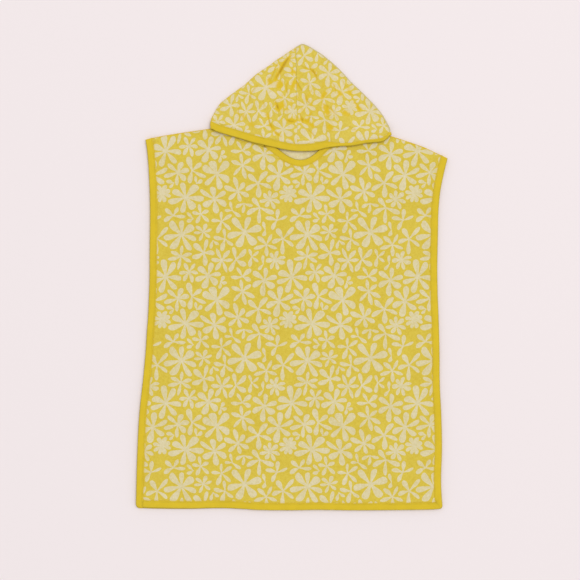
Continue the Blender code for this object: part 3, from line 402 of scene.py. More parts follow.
class Line:
    """A line in plan, read at shares of its length."""

    def __init__(self, points):
        self.points = np.array(points, float)
        steps = np.linalg.norm(np.diff(self.points, axis=0), axis=1)
        self.run = np.concatenate([[0.0], np.cumsum(steps)])
        self.length = self.run[-1]

    def at(self, share):
        """Places at shares of the line's length."""
        run = np.clip(share, 0.0, 1.0) * self.length
        return np.stack([np.interp(run, self.run, self.points[:, k]) for k in (0, 1)], axis=-1)

    def heading(self, share):
        """Which way the line runs there."""
        step = HEADING_STEP / self.length
        return unit(self.at(np.asarray(share) + step) - self.at(np.asarray(share) - step))

    def shifted(self, distance):
        """A line beside this one, on its left."""
        shares = self.run / self.length
        return Line(self.at(shares) + distance * left_of(self.heading(shares)))

    def extended(self, distance):
        """The line with both ends carried on straight."""
        first = self.points[0] - distance * self.heading(0.0)
        last = self.points[-1] + distance * self.heading(1.0)
        return Line(np.vstack([[first], self.points, [last]]))

    def part(self, start, end, count=40):
        """Places evenly apart on a part of the line."""
        return self.at(np.linspace(start, end, count))

    def distance(self, places):
        """From each place to the nearest one on the line."""
        flat = np.reshape(places, (-1, 2))
        best = np.full(len(flat), np.inf)
        for start, along in zip(self.points, np.diff(self.points, axis=0)):
            t = np.clip((flat - start) @ along / max(along @ along, TINY), 0.0, 1.0)
            best = np.minimum(best, np.linalg.norm(flat - start - t[:, None] * along, axis=1))
        return best.reshape(np.shape(places)[:-1])

    def share_near(self, place):
        """Where along the line it passes closest to a place."""
        shares = np.linspace(0, 1, 400)
        return shares[np.argmin(np.linalg.norm(self.at(shares) - place, axis=1))]

    def y_at(self, x):
        """Its y at an x, where it runs to the right."""
        return np.interp(x, self.points[:, 0], self.points[:, 1])

    def surrounds(self, places):
        """Whether a closed line goes round each place."""
        flat = np.reshape(places, (-1, 2))
        crossings = np.zeros(len(flat), int)
        for a, b in zip(self.points, self.points[1:]):
            spans = (a[1] > flat[:, 1]) != (b[1] > flat[:, 1])
            rise = b[1] - a[1] if b[1] != a[1] else 1.0
            crossings += spans & (a[0] + (flat[:, 1] - a[1]) / rise * (b[0] - a[0]) > flat[:, 0])
        return (crossings % 2 == 1).reshape(np.shape(places)[:-1])


def smooth(points, steps=10):
    """A rounded line through the points of a table."""
    p = np.array(points, float)
    p = np.vstack([2 * p[0] - p[1], p, 2 * p[-1] - p[-2]])
    dense = []
    for a, b, c, d in zip(p, p[1:], p[2:], p[3:]):
        bend = 2 * a - 5 * b + 4 * c - d
        swing = 3 * b - a - 3 * c + d
        for t in np.arange(steps) / steps:
            dense.append(0.5 * (2 * b + (c - a) * t + bend * t * t + swing * t**3))
    return Line(dense + [p[-2]])


def soft_max(a, b, blend=0.5):
    """The larger of two values, rounded off where they meet."""
    return np.maximum(a, b) + np.maximum(0.0, blend - np.abs(a - b)) ** 2 / (4 * blend)


def nearest(places, *lines):
    """From each place to the nearest of the lines."""
    return np.min([line.distance(places) for line in lines], axis=0)


def apart(places, middle, half):
    """How far places lie from the middle of an oval, where 1 is on its edge."""
    return np.hypot((places[..., 0] - middle[0]) / half[0], (places[..., 1] - middle[1]) / half[1])


def creased(creases, places):
    """What the creases add at each place: each fades across its width and towards its ends."""
    total = np.zeros(places.shape[:-1])
    for c in creases:
        start = np.array([c.x1, c.y1])
        along = np.array([c.x2, c.y2]) - start
        t = np.clip((places - start) @ along / (along @ along), 0.0, 1.0)
        across = np.linalg.norm(places - start - t[..., None] * along, axis=-1) / c.width
        ends = ease(1 - np.abs(2 * t - 1) ** 4 * CREASE_ENDS)
        total += np.where(across < 2, c.rise * ends * np.exp(-(across**2) * CREASE_SHARP), 0.0)
    return total


def folded(folds, places):
    """What the folds add at each place, and how deep in their grooves it lies."""
    flat = places.reshape(-1, 2)
    total, depth = np.zeros(len(flat)), np.zeros(len(flat))
    for fold in folds:
        line = smooth(fold.route, 4)
        best = np.full(len(flat), np.inf)
        share, side = np.zeros(len(flat)), np.ones(len(flat))
        for start, along, run in zip(line.points, np.diff(line.points, axis=0), line.run):
            t = np.clip((flat - start) @ along / (along @ along), 0.0, 1.0)
            away = np.linalg.norm(flat - start - t[:, None] * along, axis=1)
            nearer = away < best
            best = np.where(nearer, away, best)
            share = np.where(nearer, (run + t * math.hypot(*along)) / line.length, share)
            side = np.where(nearer, np.sign(cross(along, flat - start)), side)
        swell = np.exp(-((best / np.where(side > 0, fold.wide, fold.steep)) ** 2))
        groove = np.where(side > 0, 0.0, GROOVE_DEEP * np.exp(-((best / fold.steep - GROOVE_AT) ** 2)))
        high = fold.rise * np.sin(math.pi * share) ** FOLD_ENDS
        total += high * (swell - groove)
        depth += high * groove
    return total.reshape(places.shape[:-1]), depth.reshape(places.shape[:-1])


left_side = smooth(LEFT_SIDE)
right_side = smooth(RIGHT_SIDE)
front_hem = smooth(FRONT_HEM)
back_hem = smooth(BACK_HEM)
left_shoulder = smooth(LEFT_SHOULDER)
right_shoulder = smooth(RIGHT_SHOULDER)
front_neck = smooth(FRONT_NECK)
back_neck = smooth(BACK_NECK)
hood_face = smooth(HOOD_FACE)
hood_seam = smooth(HOOD_SEAM)
hood_outline = {-1: smooth(HOOD_LEFT_OUTLINE), 1: smooth(HOOD_RIGHT_OUTLINE)}
front_top = Line(np.vstack([left_shoulder.points, front_neck.points[1:], right_shoulder.points[1:]]))
neck_reach = front_neck.extended(2 * NECK_TAPE)


def pressed(distance, shown):
    """1 inside a tape of the shown width, easing to 0 past its edge."""
    return 1 - ease((distance - shown - PRESS_PAST) / EASE)


def held_down(distance, shown):
    """The same for the pile, which springs up close to the tape's edge."""
    return 1 - ease((distance - shown + PILE_BEFORE) / PILE_EASE)


# ---- Surfaces: grids with a place in the flat cut for each place on the laid cloth -------------------
# hollow: how much painted shade each place takes; below zero, the greyish cream of the hood's right turn
Sheet = collections.namedtuple("Sheet", "cut outer inner hollow")


def panel_top(neck, trim):
    """The top edge of a panel as a function of u, and where along it the neckline starts and ends."""
    left = Line(left_shoulder.part(0, 1 - trim / left_shoulder.length))
    right = Line(right_shoulder.part(trim / right_shoulder.length, 1))
    middle = Line(np.vstack([[left.at(1)], neck.points[1:-1], [right.at(0)]]))
    width = right.at(1)[0] - left.at(0)[0]
    start = (left.at(1)[0] - left.at(0)[0]) / width
    end = (right.at(0)[0] - left.at(0)[0]) / width

    def edge(u):
        places = left.at(u / start)
        places = np.where((u > start)[..., None], middle.at((u - start) / (end - start)), places)
        return np.where((u >= end)[..., None], right.at((u - end) / (1 - end)), places)

    return edge, start, end


def stepped(marks, spacing):
    """The marks, with even steps of at most the spacing between them."""
    runs = []
    for a, b in zip(marks, marks[1:]):
        runs.append(np.linspace(a, b, max(2, math.ceil((b - a) / spacing) + 1))[:-1])
    return np.concatenate(runs + [[marks[-1]]])


def beside_tape(tape):
    """How far in from an edge a grid's lines lie where a tape of that width binds it."""
    return [*INSIDE_TAPE, *(tape + past for past in BESIDE_TAPE)]


def panel_grid(neck, hem, trim, spacing):
    """Places over a panel: rows from its hem to its top edge, columns from its left side."""
    wide = right_shoulder.points[-1][0] - left_shoulder.points[0][0]
    top, start, end = panel_top(neck, trim)
    near = beside_tape(EDGE_TAPE)
    marks = [d / wide for d in near] + [start - d / wide for d in NECK_COLUMNS]
    marks += [end + d / wide for d in NECK_COLUMNS[::-1]] + [1 - d / wide for d in near[::-1]]
    u = stepped(marks, spacing / wide)[None, :]
    marks = [d / PANEL_HIGH for d in near] + [1 - d / PANEL_HIGH for d in SEAM_ROWS]
    v = stepped(marks, spacing / PANEL_HIGH)[:, None]
    left = left_side.at(v) + (hem.at(0) - left_side.at(0)) * (1 - v)[..., None]
    low_corners = between(hem.at(0), hem.at(1), u)
    top_corners = between(top(np.zeros(1))[0], top(np.ones(1))[0], u)
    corners = low_corners * (1 - v)[..., None] + top_corners * v[..., None]
    plan = between(left, right_side.at(v), u) + between(hem.at(u), top(u), v) - corners
    plan[0, 0] = hem.at(0.0) + np.array([1.0, 1.0]) * CORNER_IN
    plan[0, -1] = hem.at(1.0) + np.array([-1.0, 1.0]) * CORNER_IN
    return plan


def panel_sheet(layer, neck, hem, level, tape_level):
    """A panel at its level, pressed inside its tapes and rolled in at its shoulder seams."""
    front = layer == "front"
    plan = panel_grid(neck, hem, NECK_TRIM if front else 0.0, PANEL_SPACING[layer])
    edge = nearest(plan, left_side, right_side, hem)
    side = pressed(edge, EDGE_TAPE)
    around_neck = pressed(neck_reach.distance(plan), NECK_TAPE) if front else 0.0 * side
    free = (1 - side) * (1 - around_neck)
    floor = mix(level, tape_level + TAPE + GAP, side) + around_neck * (TAPE + GAP) * (1 - side)
    pile = held_down(edge, EDGE_TAPE)
    if front:
        floor = floor + creased(FRONT_WAVES, plan) * free
        pile = np.maximum(pile, held_down(neck_reach.distance(plan), NECK_TAPE))
    thick = mix(CLOTH, PRESSED, pile)
    from_seam = nearest(plan, left_shoulder, right_shoulder)
    rolled = np.sqrt(np.maximum(0.0, 1 - (1 - np.clip(from_seam / CLOTH, 0, 1)) ** 2))
    kept = thick * np.maximum(SEAM_KEPT, rolled)
    # Painted shade along the rolled shoulder seams, and in the crevice beside the tapes where the pile is
    # held down
    at_seam = SEAM_SHADE * np.clip(1 - from_seam / SEAM_SHADE_WIDE, 0.0, 1.0)
    hollow = np.maximum(PRESS_SHADE * pile, at_seam)
    if front:
        swell = puckers(plan, edge) * free
        return Sheet(plan, with_height(plan, floor + kept + swell), with_height(plan, floor), hollow)
    return Sheet(plan, with_height(plan, floor + thick - kept), with_height(plan, floor + thick), hollow)


def rumpled(plan):
    """The small hollows between the main creases of the hood, strongest about its middle."""
    x, y = plan[..., 0], plan[..., 1]
    ripple = np.sin(x / 3.2 + 2.2 * np.sin(y / 23.0) + 0.8 * np.sin(y / 7.7))
    ripple = ripple * np.sin(y / 7.5 + 1.9 * np.sin(x / 13.0))
    return RUMPLED * np.clip(ripple - 0.3, 0.0, 1.0) * np.exp(-apart(plan, RUMPLED_AT, RUMPLED_HALF) ** 2)


def puckers(plan, edge):
    """Small swellings where the stitching draws the cloth in, and the lie of the cloth elsewhere."""
    x, y = plan[..., 0], plan[..., 1]
    drawn = np.sin(y / 4.1 + 2 * np.sin(y / 37.0)) * np.sin(x / 4.7 + 1.3)
    lie = np.sin(x / 23.0 + 1.7 * np.sin(y / 61.0)) * np.sin(y / 31.0 + 1.1 * np.sin(x / 47.0))
    near = np.exp(-(((edge - EDGE_TAPE - PUCKER_AT) / PUCKER_SPREAD) ** 2))
    free = ease((edge - EDGE_TAPE) / LIE_EASE)
    return PUCKER_HIGH * (1 + drawn) * near + LIE_HIGH * (1 + lie) * free


# ---- The hood ----------------------------------------------------------------------------------------
def past_front(places):
    """How far each place lies past the top edge of the front, or 0 on it."""
    return np.where(places[..., 1] < front_top.y_at(places[..., 0]), 0.0, front_top.distance(places))


def ground(places):
    """The underside of the hood's hidden layer: on the front, or down on the ground past it."""
    return HOOD_LEVEL * (1 - ease((past_front(places) - DROP_FROM) / DROP))


def tuck(places):
    """The gathered slack in the hidden layer."""
    return TUCK_HIGH * (1 - ease(apart(places, TUCK_AT, TUCK_HALF)))


# hollow: painted shade over the upper layer and round the left turn, a greyish cream round the right
Wall = collections.namedtuple("Wall", "middle outwards outer inner shown hollow")


class HoodSide:
    """One side of the hood, -1 left and 1 right, as a wall of cloth on a grid.

    Rows v go from 0 at the face to 1 at the crown. Each runs from the seam over the upper layer, round
    the turn at the outline and back under it on the hidden layer.
    """

    def __init__(self, side):
        self.side = side
        self.upper_steps, self.fold_steps, self.lower_steps = HOOD_STEPS
        self.across = np.linspace(0, 1, self.upper_steps + 1) ** HOOD_CROWD
        self.outline = hood_outline[side]
        self.face_from = hood_face.share_near(hood_seam.at(0.0))
        self.outer_end = 0.0 if side < 0 else 1.0
        self.root = self.root_line()
        self.hidden = Line(np.vstack([self.root.points, self.outline.points[::-1], self.root.points[:1]]))

    def root_line(self):
        """Where the hidden layer ends: up the front neckline, round the shoulder and along the back."""
        inwards = -self.side
        start = self.outer_end + FRONT_CORNER[self.side] * inwards
        shares = np.linspace(start, self.outer_end, ROOT_PLACES[0])
        front = front_neck.at(shares) - left_of(front_neck.heading(shares)) * (NECK_TAPE + ROOT_CLEAR)
        shoulder = left_shoulder if self.side < 0 else right_shoulder
        past = (NECK_END + SHOULDER_CLEAR[0]) / shoulder.length
        turn = shoulder.at(1 - past if self.side < 0 else past) + np.array([0.0, SHOULDER_CLEAR[1]])
        front = [p for p in front if p[1] < turn[1] - SHOULDER_BEND] + [turn]
        back = back_neck.part(self.outer_end, 0.5, ROOT_PLACES[1]) + np.array([0.0, ROOT_CLEAR])
        back = [p for p in back if abs(p[0] - HOOD_SEAM[0][0]) > NAPE_CLEAR]
        nape = np.array([np.interp(NAPE, hood_seam.points[:, 1], hood_seam.points[:, 0]), NAPE])
        self.turn_run = Line(front).length
        self.nape_run = Line(front + back + [nape]).length
        return Line(front + back + [nape] + [p for p in hood_seam.points if p[1] > NAPE])

    def taped(self, v):
        """1 inside the face tape, easing to 0 past it."""
        return pressed(v * hood_seam.length, HOOD_TAPE)

    def half(self, v):
        """From a layer's middle to its face, or to its tape's."""
        return mix(CLOTH / 2, NOSE, self.taped(v))

    def radius(self, v):
        """The radius of the turn at the outline, to the cloth's middle."""
        return mix(FOLD_RADIUS, FOLD_RADIUS_TAPED, self.taped(v))

    def outward(self, v):
        """Square to the outline in plan, and straight up the seam at the crown."""
        across = np.where((v < 1)[..., None], self.outline.heading(v), np.array([-self.side, 0.0]))
        normal = left_of(across) * -self.side
        return unit(between(normal, np.array([0.0, 1.0]), ease((v - CROWN_TURN) / (1 - CROWN_TURN))))

    def fold_centre(self, v):
        """The place in plan that the cloth turns round."""
        return self.outline.at(v) - (self.radius(v) + self.half(v))[..., None] * self.outward(v)

    def seam_at(self, v):
        """This side's edge at the hood's seam, which ends level with the turn at the crown."""
        short = between(hood_seam.at(0.0), self.fold_centre(np.ones(1))[0], v)
        return between(hood_seam.at(v), short, ease(v)) + np.array([self.side * GAP / 2, 0.0])

    def hidden_root(self, v):
        """Where the hidden layer's row ends: on the neckline, or past the nape under the seam."""
        runs = [0.0, self.turn_run, self.nape_run, self.root.length]
        run = np.interp(v, [0.0, SHOULDER_ROW, NAPE_ROW, 1.0], runs)
        nape = with_height(self.seam_at(v)[..., :1], NAPE)
        crown = np.array([self.seam_at(np.ones(1))[0][0], self.fold_centre(np.ones(1))[0][1]])
        past = between(nape, crown, (v - NAPE_ROW) / (1 - NAPE_ROW))
        return np.where((v < NAPE_ROW)[..., None], self.root.at(run / self.root.length), past)

    def shown_tape(self, x, hidden):
        """The face tape's width on the hood's outside; hidden is a share of the hidden layer, or -1."""
        if self.side < 0:
            return HOOD_TAPE + 0.0 * x
        rolled = mix(HOOD_TAPE, ROLLED_TAPE, ease((x - ROLL_FROM) / (ROLL_FULL - ROLL_FROM)))
        return np.where(hidden < 0, rolled, mix(ROLLED_TAPE, HOOD_TAPE, ease(hidden * UNROLLS)))

    def upper_layer(self, v, fold):
        """The middle of the layer that shows, and the painted shade in its hollows and grooves."""
        f = self.across[None, :]
        straight = between(self.seam_at(np.zeros(1))[0], self.outline.at(0.0), f)
        face = hood_face.at(mix(self.face_from, self.outer_end, f))
        plan = between(self.seam_at(v), fold, f) + (face - straight) * ((1 - v) ** FACE_FADE)[..., None]
        half, taped = self.half(v), self.taped(v)
        at_fold = ground(fold) + 2 * self.radius(v)
        away = np.linalg.norm(plan - fold, axis=-1) / FOLD_EASE
        middle_level = np.interp(v, HOOD_MIDDLE_SHARE, HOOD_MIDDLE_LEVEL)
        level = mix(at_fold, middle_level, ease(away) * (v < 1))
        kept = 1 - TAPE_FLATTENS * taped
        level = level + creased(HOOD_CREASES, plan) * ease(away * CREASE_SOONER) * kept
        swell, groove = folded(HOOD_FOLDS, plan)
        # These hollows sink the cloth, and the same amounts paint shade into them
        hollow = (creased(HOOD_HOLLOWS, plan) + rumpled(plan)) * (1 - taped)
        level = level + (swell * (1 - taped) - HOLLOW_SINKS * hollow) * ease(away * SMALL_SOONER)
        past_hidden = np.where(self.hidden.surrounds(plan), 0.0, self.hidden.distance(plan))
        below = mix(ground(plan) + 2 * half + tuck(plan) + GAP, 0.0, ease(past_hidden / NECK_SAG))
        level = np.where(f < 1, soft_max(level, below), at_fold)
        # Painted shade: the hollows, the broad middle of the hood and the folds' grooves, less under the
        # tape
        hollow = np.clip(hollow + creased(HOOD_BROAD_SHADE, plan) + groove * (1 - taped), 0.0, DEEPEST)
        return with_height(plan, level + half), hollow

    def turn_layer(self, v, fold):
        """The middle of the cloth's turn round the outline, and its outward ways."""
        turn = math.pi * (0.5 - np.arange(1, self.fold_steps)[None, :] / self.fold_steps)
        out = with_height(self.outward(v) * np.cos(turn)[..., None], np.sin(turn))
        radius = self.radius(v)
        return with_height(fold, ground(fold) + self.half(v) + radius) + radius[..., None] * out, out

    def read(self, v):
        """The wall at rows v: its middle, its outward ways, and how far it goes to either side of it."""
        v = np.asarray(v, float)[:, None]
        fold = self.fold_centre(v)
        upper, hollow = self.upper_layer(v, fold)
        turned, out = self.turn_layer(v, fold)
        g = np.linspace(0, 1, self.lower_steps + 1)[None, :]
        under = between(fold, self.hidden_root(v), g)
        lower = with_height(under, ground(under) + self.half(v))
        up = np.broadcast_to([0.0, 0.0, 1.0], upper.shape)
        down = np.broadcast_to([0.0, 0.0, -1.0], lower.shape)
        middle = np.concatenate([upper, turned, lower], axis=1)
        outwards = np.concatenate([up, out, down], axis=1)
        before = upper.shape[1] + turned.shape[1]
        hidden = np.concatenate([-np.ones(before), g[0]])[None, :]
        shown = self.shown_tape(middle[..., 0], hidden)
        thin = mix(CLOTH / 2, PRESSED / 2, self.taped(v))
        gathered = np.concatenate([np.zeros((len(v), before)), tuck(under) * (g > 0)], axis=1)
        outer = mix(CLOTH - thin, thin, held_down(v * hood_seam.length, shown))
        shades = np.zeros(outer.shape)
        # Painted shade round the left turn and a greyish cream round the right, then the upper layer's
        # painted shade
        shades[:, : before + 1] = TURN_SHADE[self.side]
        shades[:, : upper.shape[1]] = hollow
        return Wall(middle, outwards, outer, thin + gathered, shown, shades)

    def sheet(self, spacing):
        """The side as a sheet of cloth, with rows at most so far apart."""
        marks = [d / hood_seam.length for d in beside_tape(HOOD_TAPE)]
        v = stepped(marks + [SHOULDER_ROW, NAPE_ROW] + CROWN_ROWS, spacing / hood_seam.length)
        wall = self.read(v)
        outside = wall.middle + wall.outwards * wall.outer[..., None]
        inside = wall.middle - wall.outwards * wall.inner[..., None]
        from_seam = np.abs(outside[..., 0] - self.seam_at(v)[:, None, 0])
        seam_dip = SEAM_DIP * np.exp(-((from_seam / SEAM_DIP_HALF) ** 2))
        seam_dip[:, self.upper_steps :] = 0.0
        outside[..., 2] -= seam_dip * (1 - self.taped(v)[:, None])
        return Sheet(self.unfolded(v, outside), outside, inside, wall.hollow)

    def unfolded(self, v, outside):
        """Each place in the flat cut: as seen from above, and past the fold opened out like a page."""
        cut = outside[..., :2].copy()
        out = self.outward(np.asarray(v, float))
        for column in range(self.upper_steps + 1, outside.shape[1]):
            step = outside[:, column] - outside[:, column - 1]
            back = (step[:, :2] * out).sum(1)
            if column <= self.upper_steps + self.fold_steps:
                cut[:, column] = cut[:, column - 1] + out * np.linalg.norm(step, axis=1)[:, None]
            else:
                cut[:, column] = cut[:, column - 1] + step[:, :2] - 2 * back[:, None] * out
        return cut

    def tape_frames(self):
        """Depths under the face tape, and the wall there."""
        depths = np.linspace(0.0, HOOD_TAPE, HOOD_TAPE_STEPS + 1)
        return depths, self.read(depths / hood_seam.length)


# ---- The print: flowers on a repeat ------------------------------------------------------------------
def petal_shape(kind, angle, reach, width, bend, slant):
    """A petal's outline, and places spread over it, about the flower's middle."""

    def placed(along, across):
        along, across = along + slant * across * (along / reach), across + bend * (along / reach) ** 2
        turned = [along * math.cos(angle) - across * math.sin(angle)]
        turned.append(along * math.sin(angle) + across * math.cos(angle))
        return np.stack(turned, axis=-1)

    def half(t):
        swell = PETAL_NECK + (1 - PETAL_NECK) * ease(t / kind.widest)
        tip = np.clip((t - kind.widest) / (1 - kind.widest), 0.0, 1.0) ** kind.blunt
        return width / 2 * swell * np.sqrt(np.maximum(0.0, 1 - tip))

    along = mix(PETAL_FOOT, reach, PETAL_STEPS)
    sides = half(PETAL_STEPS)
    outline = np.vstack([placed(along, -sides), placed(along[-2::-1], sides[-2::-1])])
    t = np.linspace(0, 1, int(2 * reach))[:, None]
    spread = placed(mix(PETAL_FOOT, reach, t), half(t) * np.linspace(-1, 1, int(2 * width) + 1)[None, :])
    return outline, spread.reshape(-1, 2)


def draw_flower(kind, rng):
    """A flower's petals, uneven in reach, width and spacing, and a hub that joins them."""
    count = int(rng.integers(kind.fewest, kind.most + 1))
    slots = max(count, PETAL_SLOTS)
    angles = np.sort(rng.permutation(slots)[:count]) * 2 * math.pi / slots
    angles = angles + rng.uniform(-PETAL_TURN, PETAL_TURN, count) + rng.uniform(0, 2 * math.pi)
    outlines, spreads = [], []
    for angle in angles:
        reach = kind.reach * rng.uniform(1 - kind.uneven, 1 + kind.uneven / 3)
        width = kind.width * rng.uniform(1 - kind.uneven, 1 + kind.uneven)
        bend = rng.uniform(-PETAL_BEND, PETAL_BEND) * reach
        slant = rng.uniform(-PETAL_SLANT, PETAL_SLANT)
        outline, spread = petal_shape(kind, angle, reach, width, bend, slant)
        outlines.append(outline)
        spreads.append(spread)
    turns = np.arange(HUB_SIDES) * 2 * math.pi / HUB_SIDES
    outlines.append(np.stack([np.cos(turns), np.sin(turns)], axis=-1) * kind.hub)
    return outlines, np.vstack(spreads)


def marked(size, cells):
    """A repeat's map with its cells set to 1; cells past its edge come back at the other one."""
    found = np.zeros((size, size))
    cells = np.round(cells).astype(int) % size
    found[cells[:, 0], cells[:, 1]] = 1.0
    return found


def grown(found, radius):
    """A map with every mark widened by a radius, across the repeat's edges too."""
    span = np.arange(-math.ceil(radius), math.ceil(radius) + 1)
    brush = np.stack(np.meshgrid(span, span), axis=-1).reshape(-1, 2)
    brush = marked(len(found), brush[np.linalg.norm(brush, axis=1) <= radius])
    spread = np.fft.irfft2(np.fft.rfft2(found) * np.fft.rfft2(brush), found.shape)
    return (spread > 0.5).astype(float)


@functools.cache
def draw_repeat(size, seed):
    """One repeat of the print: each flower goes where it nests closest among those before it."""
    rng = np.random.default_rng(seed)
    taken = np.zeros((size, size))
    close = np.zeros((size, size))
    flowers = []
    evenly = sorted((i / kind.count, k) for k, kind in enumerate(FLOWERS) for i in range(kind.count))
    for kind in [FLOWERS[k] for _, k in evenly] + [kind for kind in FILLERS for _ in range(kind.count)]:
        outlines, spread = draw_flower(kind, rng)
        waves = [np.fft.rfft2(found) for found in (taken, close)]
        best = None
        for turn in rng.uniform(0, 2 * math.pi, PRINT_TURNS):
            wheel = np.array([[math.cos(turn), math.sin(turn)], [-math.sin(turn), math.cos(turn)]])
            shape = np.conj(np.fft.rfft2(marked(size, spread @ wheel)))
            overlap, touch = (np.fft.irfft2(wave * shape, taken.shape) for wave in waves)
            touch = np.where(overlap < 0.5, touch, -1.0)
            spot = np.unravel_index(touch.argmax(), touch.shape)
            if touch[spot] >= 0 and (best is None or touch[spot] > best[0]):
                best = (touch[spot], np.array(spot), wheel)
        if best is None:
            continue
        _, spot, wheel = best
        cells = marked(size, spread @ wheel + spot)
        taken = np.maximum(taken, grown(cells, PRINT_GAP))
        close = np.maximum(close, grown(cells, PRINT_NEAR))
        flowers.append([outline @ wheel + spot for outline in outlines])
    return flowers


def petals_over(low, high, flowers, size, shift):
    """The outlines of every petal that reaches into a box, from repeats laid side by side."""
    found = []
    first = np.floor((low - shift) / size).astype(int) - 1
    last = np.ceil((high - shift) / size).astype(int) + 1
    for i in range(first[0], last[0]):
        for j in range(first[1], last[1]):
            corner = shift + np.array([i, j]) * size
            for flower in flowers:
                for outline in flower:
                    placed = outline + corner
                    if (placed.max(0) > low).all() and (placed.min(0) < high).all():
                        found.append(placed)
    return found


# ---- Meshes ------------------------------------------------------------------------------------------
def add_object(name, data):
    made = bpy.data.objects.new(name, data)
    bpy.context.scene.collection.objects.link(made)
    return made


def add_piece(name, points, faces, slots, materials, smooth_angle=50.0):
    """A mesh from points in millimetres, with a material for each face."""
    mesh = bpy.data.meshes.new(name)
    mesh.from_pydata(np.asarray(points) * MM, [], faces)
    for material in materials:
        mesh.materials.append(material)
    if slots is not None:
        mesh.polygons.foreach_set("material_index", slots)
    mesh.shade_smooth()
    mesh.set_sharp_from_angle(angle=math.radians(smooth_angle))
    mesh.validate()
    return add_object(name, mesh)


def add_map(piece, name, across, along):
    """A map from two values for each of a piece's points."""
    points = np.empty(len(piece.data.loops), int)
    piece.data.loops.foreach_get("vertex_index", points)
    layer = piece.data.uv_layers.new(name=name)
    layer.uv.foreach_set("vector", np.stack([across[points], along[points]], -1).ravel())


def numbered(grid):
    """The number of each place on a grid."""
    return np.arange(grid.shape[0] * grid.shape[1]).reshape(grid.shape[:2])


def corners_of(grid):
    """The four corners of each of a grid's cells, in order."""
    return grid[:-1, :-1], grid[:-1, 1:], grid[1:, 1:], grid[1:, :-1]


def rim_of(cut):
    """The places round a grid's edge, anticlockwise."""
    index = numbered(cut)
    rim = np.concatenate([index[0, :-1], index[:-1, -1], index[-1, :0:-1], index[:0:-1, 0]])
    corners = cut.reshape(-1, 2)[rim]
    return rim if cross(corners, np.roll(corners, -1, axis=0)).sum() > 0 else rim[::-1]


def carried(sheet, places):
    """Where places in the flat cut come to lie, outside and inside, and how deep in a hollow."""
    a, b, c, d = corners_of(numbered(sheet.cut))
    triangles = np.concatenate([np.stack(half, -1).reshape(-1, 3) for half in ((a, b, c), (a, c, d))])
    cut = sheet.cut.reshape(-1, 2)
    tree = BVHTree.FromPolygons([(x, y, 0.0) for x, y in cut], triangles.tolist(), all_triangles=True)
    hits = np.array([tree.find_nearest(Vector((x, y, 0.0)))[2] for x, y in places])
    corners = triangles[hits]
    p, q, r = (cut[corners[:, k]] for k in range(3))
    area = cross(q - p, r - p)
    area = np.where(np.abs(area) < SLIVER, SLIVER, area)
    second = np.clip(cross(places - p, r - p) / area, 0, 1)
    third = np.clip(cross(q - p, places - p) / area, 0, 1)
    weights = np.stack([1 - second - third, second, third], -1)

    def read(grid):
        return (grid[corners] * weights.reshape(weights.shape + (1,) * (grid.ndim - 1))).sum(1)

    return read(sheet.outer.reshape(-1, 3)), read(sheet.inner.reshape(-1, 3)), read(sheet.hollow.ravel())


def cut_by_print(cut, petals):
    """A flat cut in triangles that follow its rim and its petals, and which of them are petal."""
    nodes = cut.reshape(-1, 2)
    faces = [rim_of(cut).tolist()]
    start = len(nodes)
    for petal in petals:
        faces.append(list(range(start, start + len(petal))))
        start += len(petal)
    places = [Vector(place) for place in np.vstack([nodes] + petals)]
    spots, _, triangles, _, _, owners = delaunay_2d_cdt(places, [], faces, 1, PRINT_MERGE, True)
    kept = [(triangle, len(owner) > 1) for triangle, owner in zip(triangles, owners) if 0 in owner]
    used, triangles = np.unique([triangle for triangle, _ in kept], return_inverse=True)
    spots = np.array([(spot.x, spot.y) for spot in spots])
    return spots[used], triangles.reshape(-1, 3), np.array([petal for _, petal in kept], int)


def open_edges(triangles, count):
    """The sides of triangles that no other one shares."""
    sides = np.vstack([triangles[:, [0, 1]], triangles[:, [1, 2]], triangles[:, [2, 0]]]).astype(np.int64)
    return sides[~np.isin(sides[:, 0] * count + sides[:, 1], sides[:, 1] * count + sides[:, 0])].tolist()


def printed_cloth(name, sheet, flowers, size, shift, materials):
    """A closed sheet of cloth whose outer face is cut along the print's outlines."""
    nodes = sheet.cut.reshape(-1, 2)
    petals = petals_over(nodes.min(0), nodes.max(0), flowers, size, np.array(shift, float))
    spots, triangles, petal = cut_by_print(sheet.cut, petals)
    outer, inner, hollow = carried(sheet, spots)
    corners = outer[triangles]
    normals = np.cross(corners[:, 1] - corners[:, 0], corners[:, 2] - corners[:, 0])
    if (normals * (outer - inner)[triangles[:, 0]]).sum() < 0:
        triangles = triangles[:, ::-1]
    count = len(spots)
    rim = [(b, a, a + count, b + count) for a, b in open_edges(triangles, count)]
    faces = triangles.tolist() + (triangles[:, ::-1] + count).tolist() + rim
    slots = np.concatenate([petal, np.full(len(triangles) + len(rim), 2)])
    piece = add_piece(name, np.vstack([outer, inner]), faces, slots, materials)
    # The hollow map: the painted shade at each place, or below zero the greyish turn
    add_map(piece, "hollow", np.tile(hollow, 2), np.zeros(2 * count))
    return piece


def area_of(grid):
    """The area of a grid in plan or in space, in square metres."""
    a, b, c, d = corners_of(grid)
    cells = cross(c - a, d - b)[..., None] if grid.shape[-1] == 2 else np.cross(c - a, d - b)
    return float(np.linalg.norm(cells, axis=-1).sum() / 2) * MM * MM


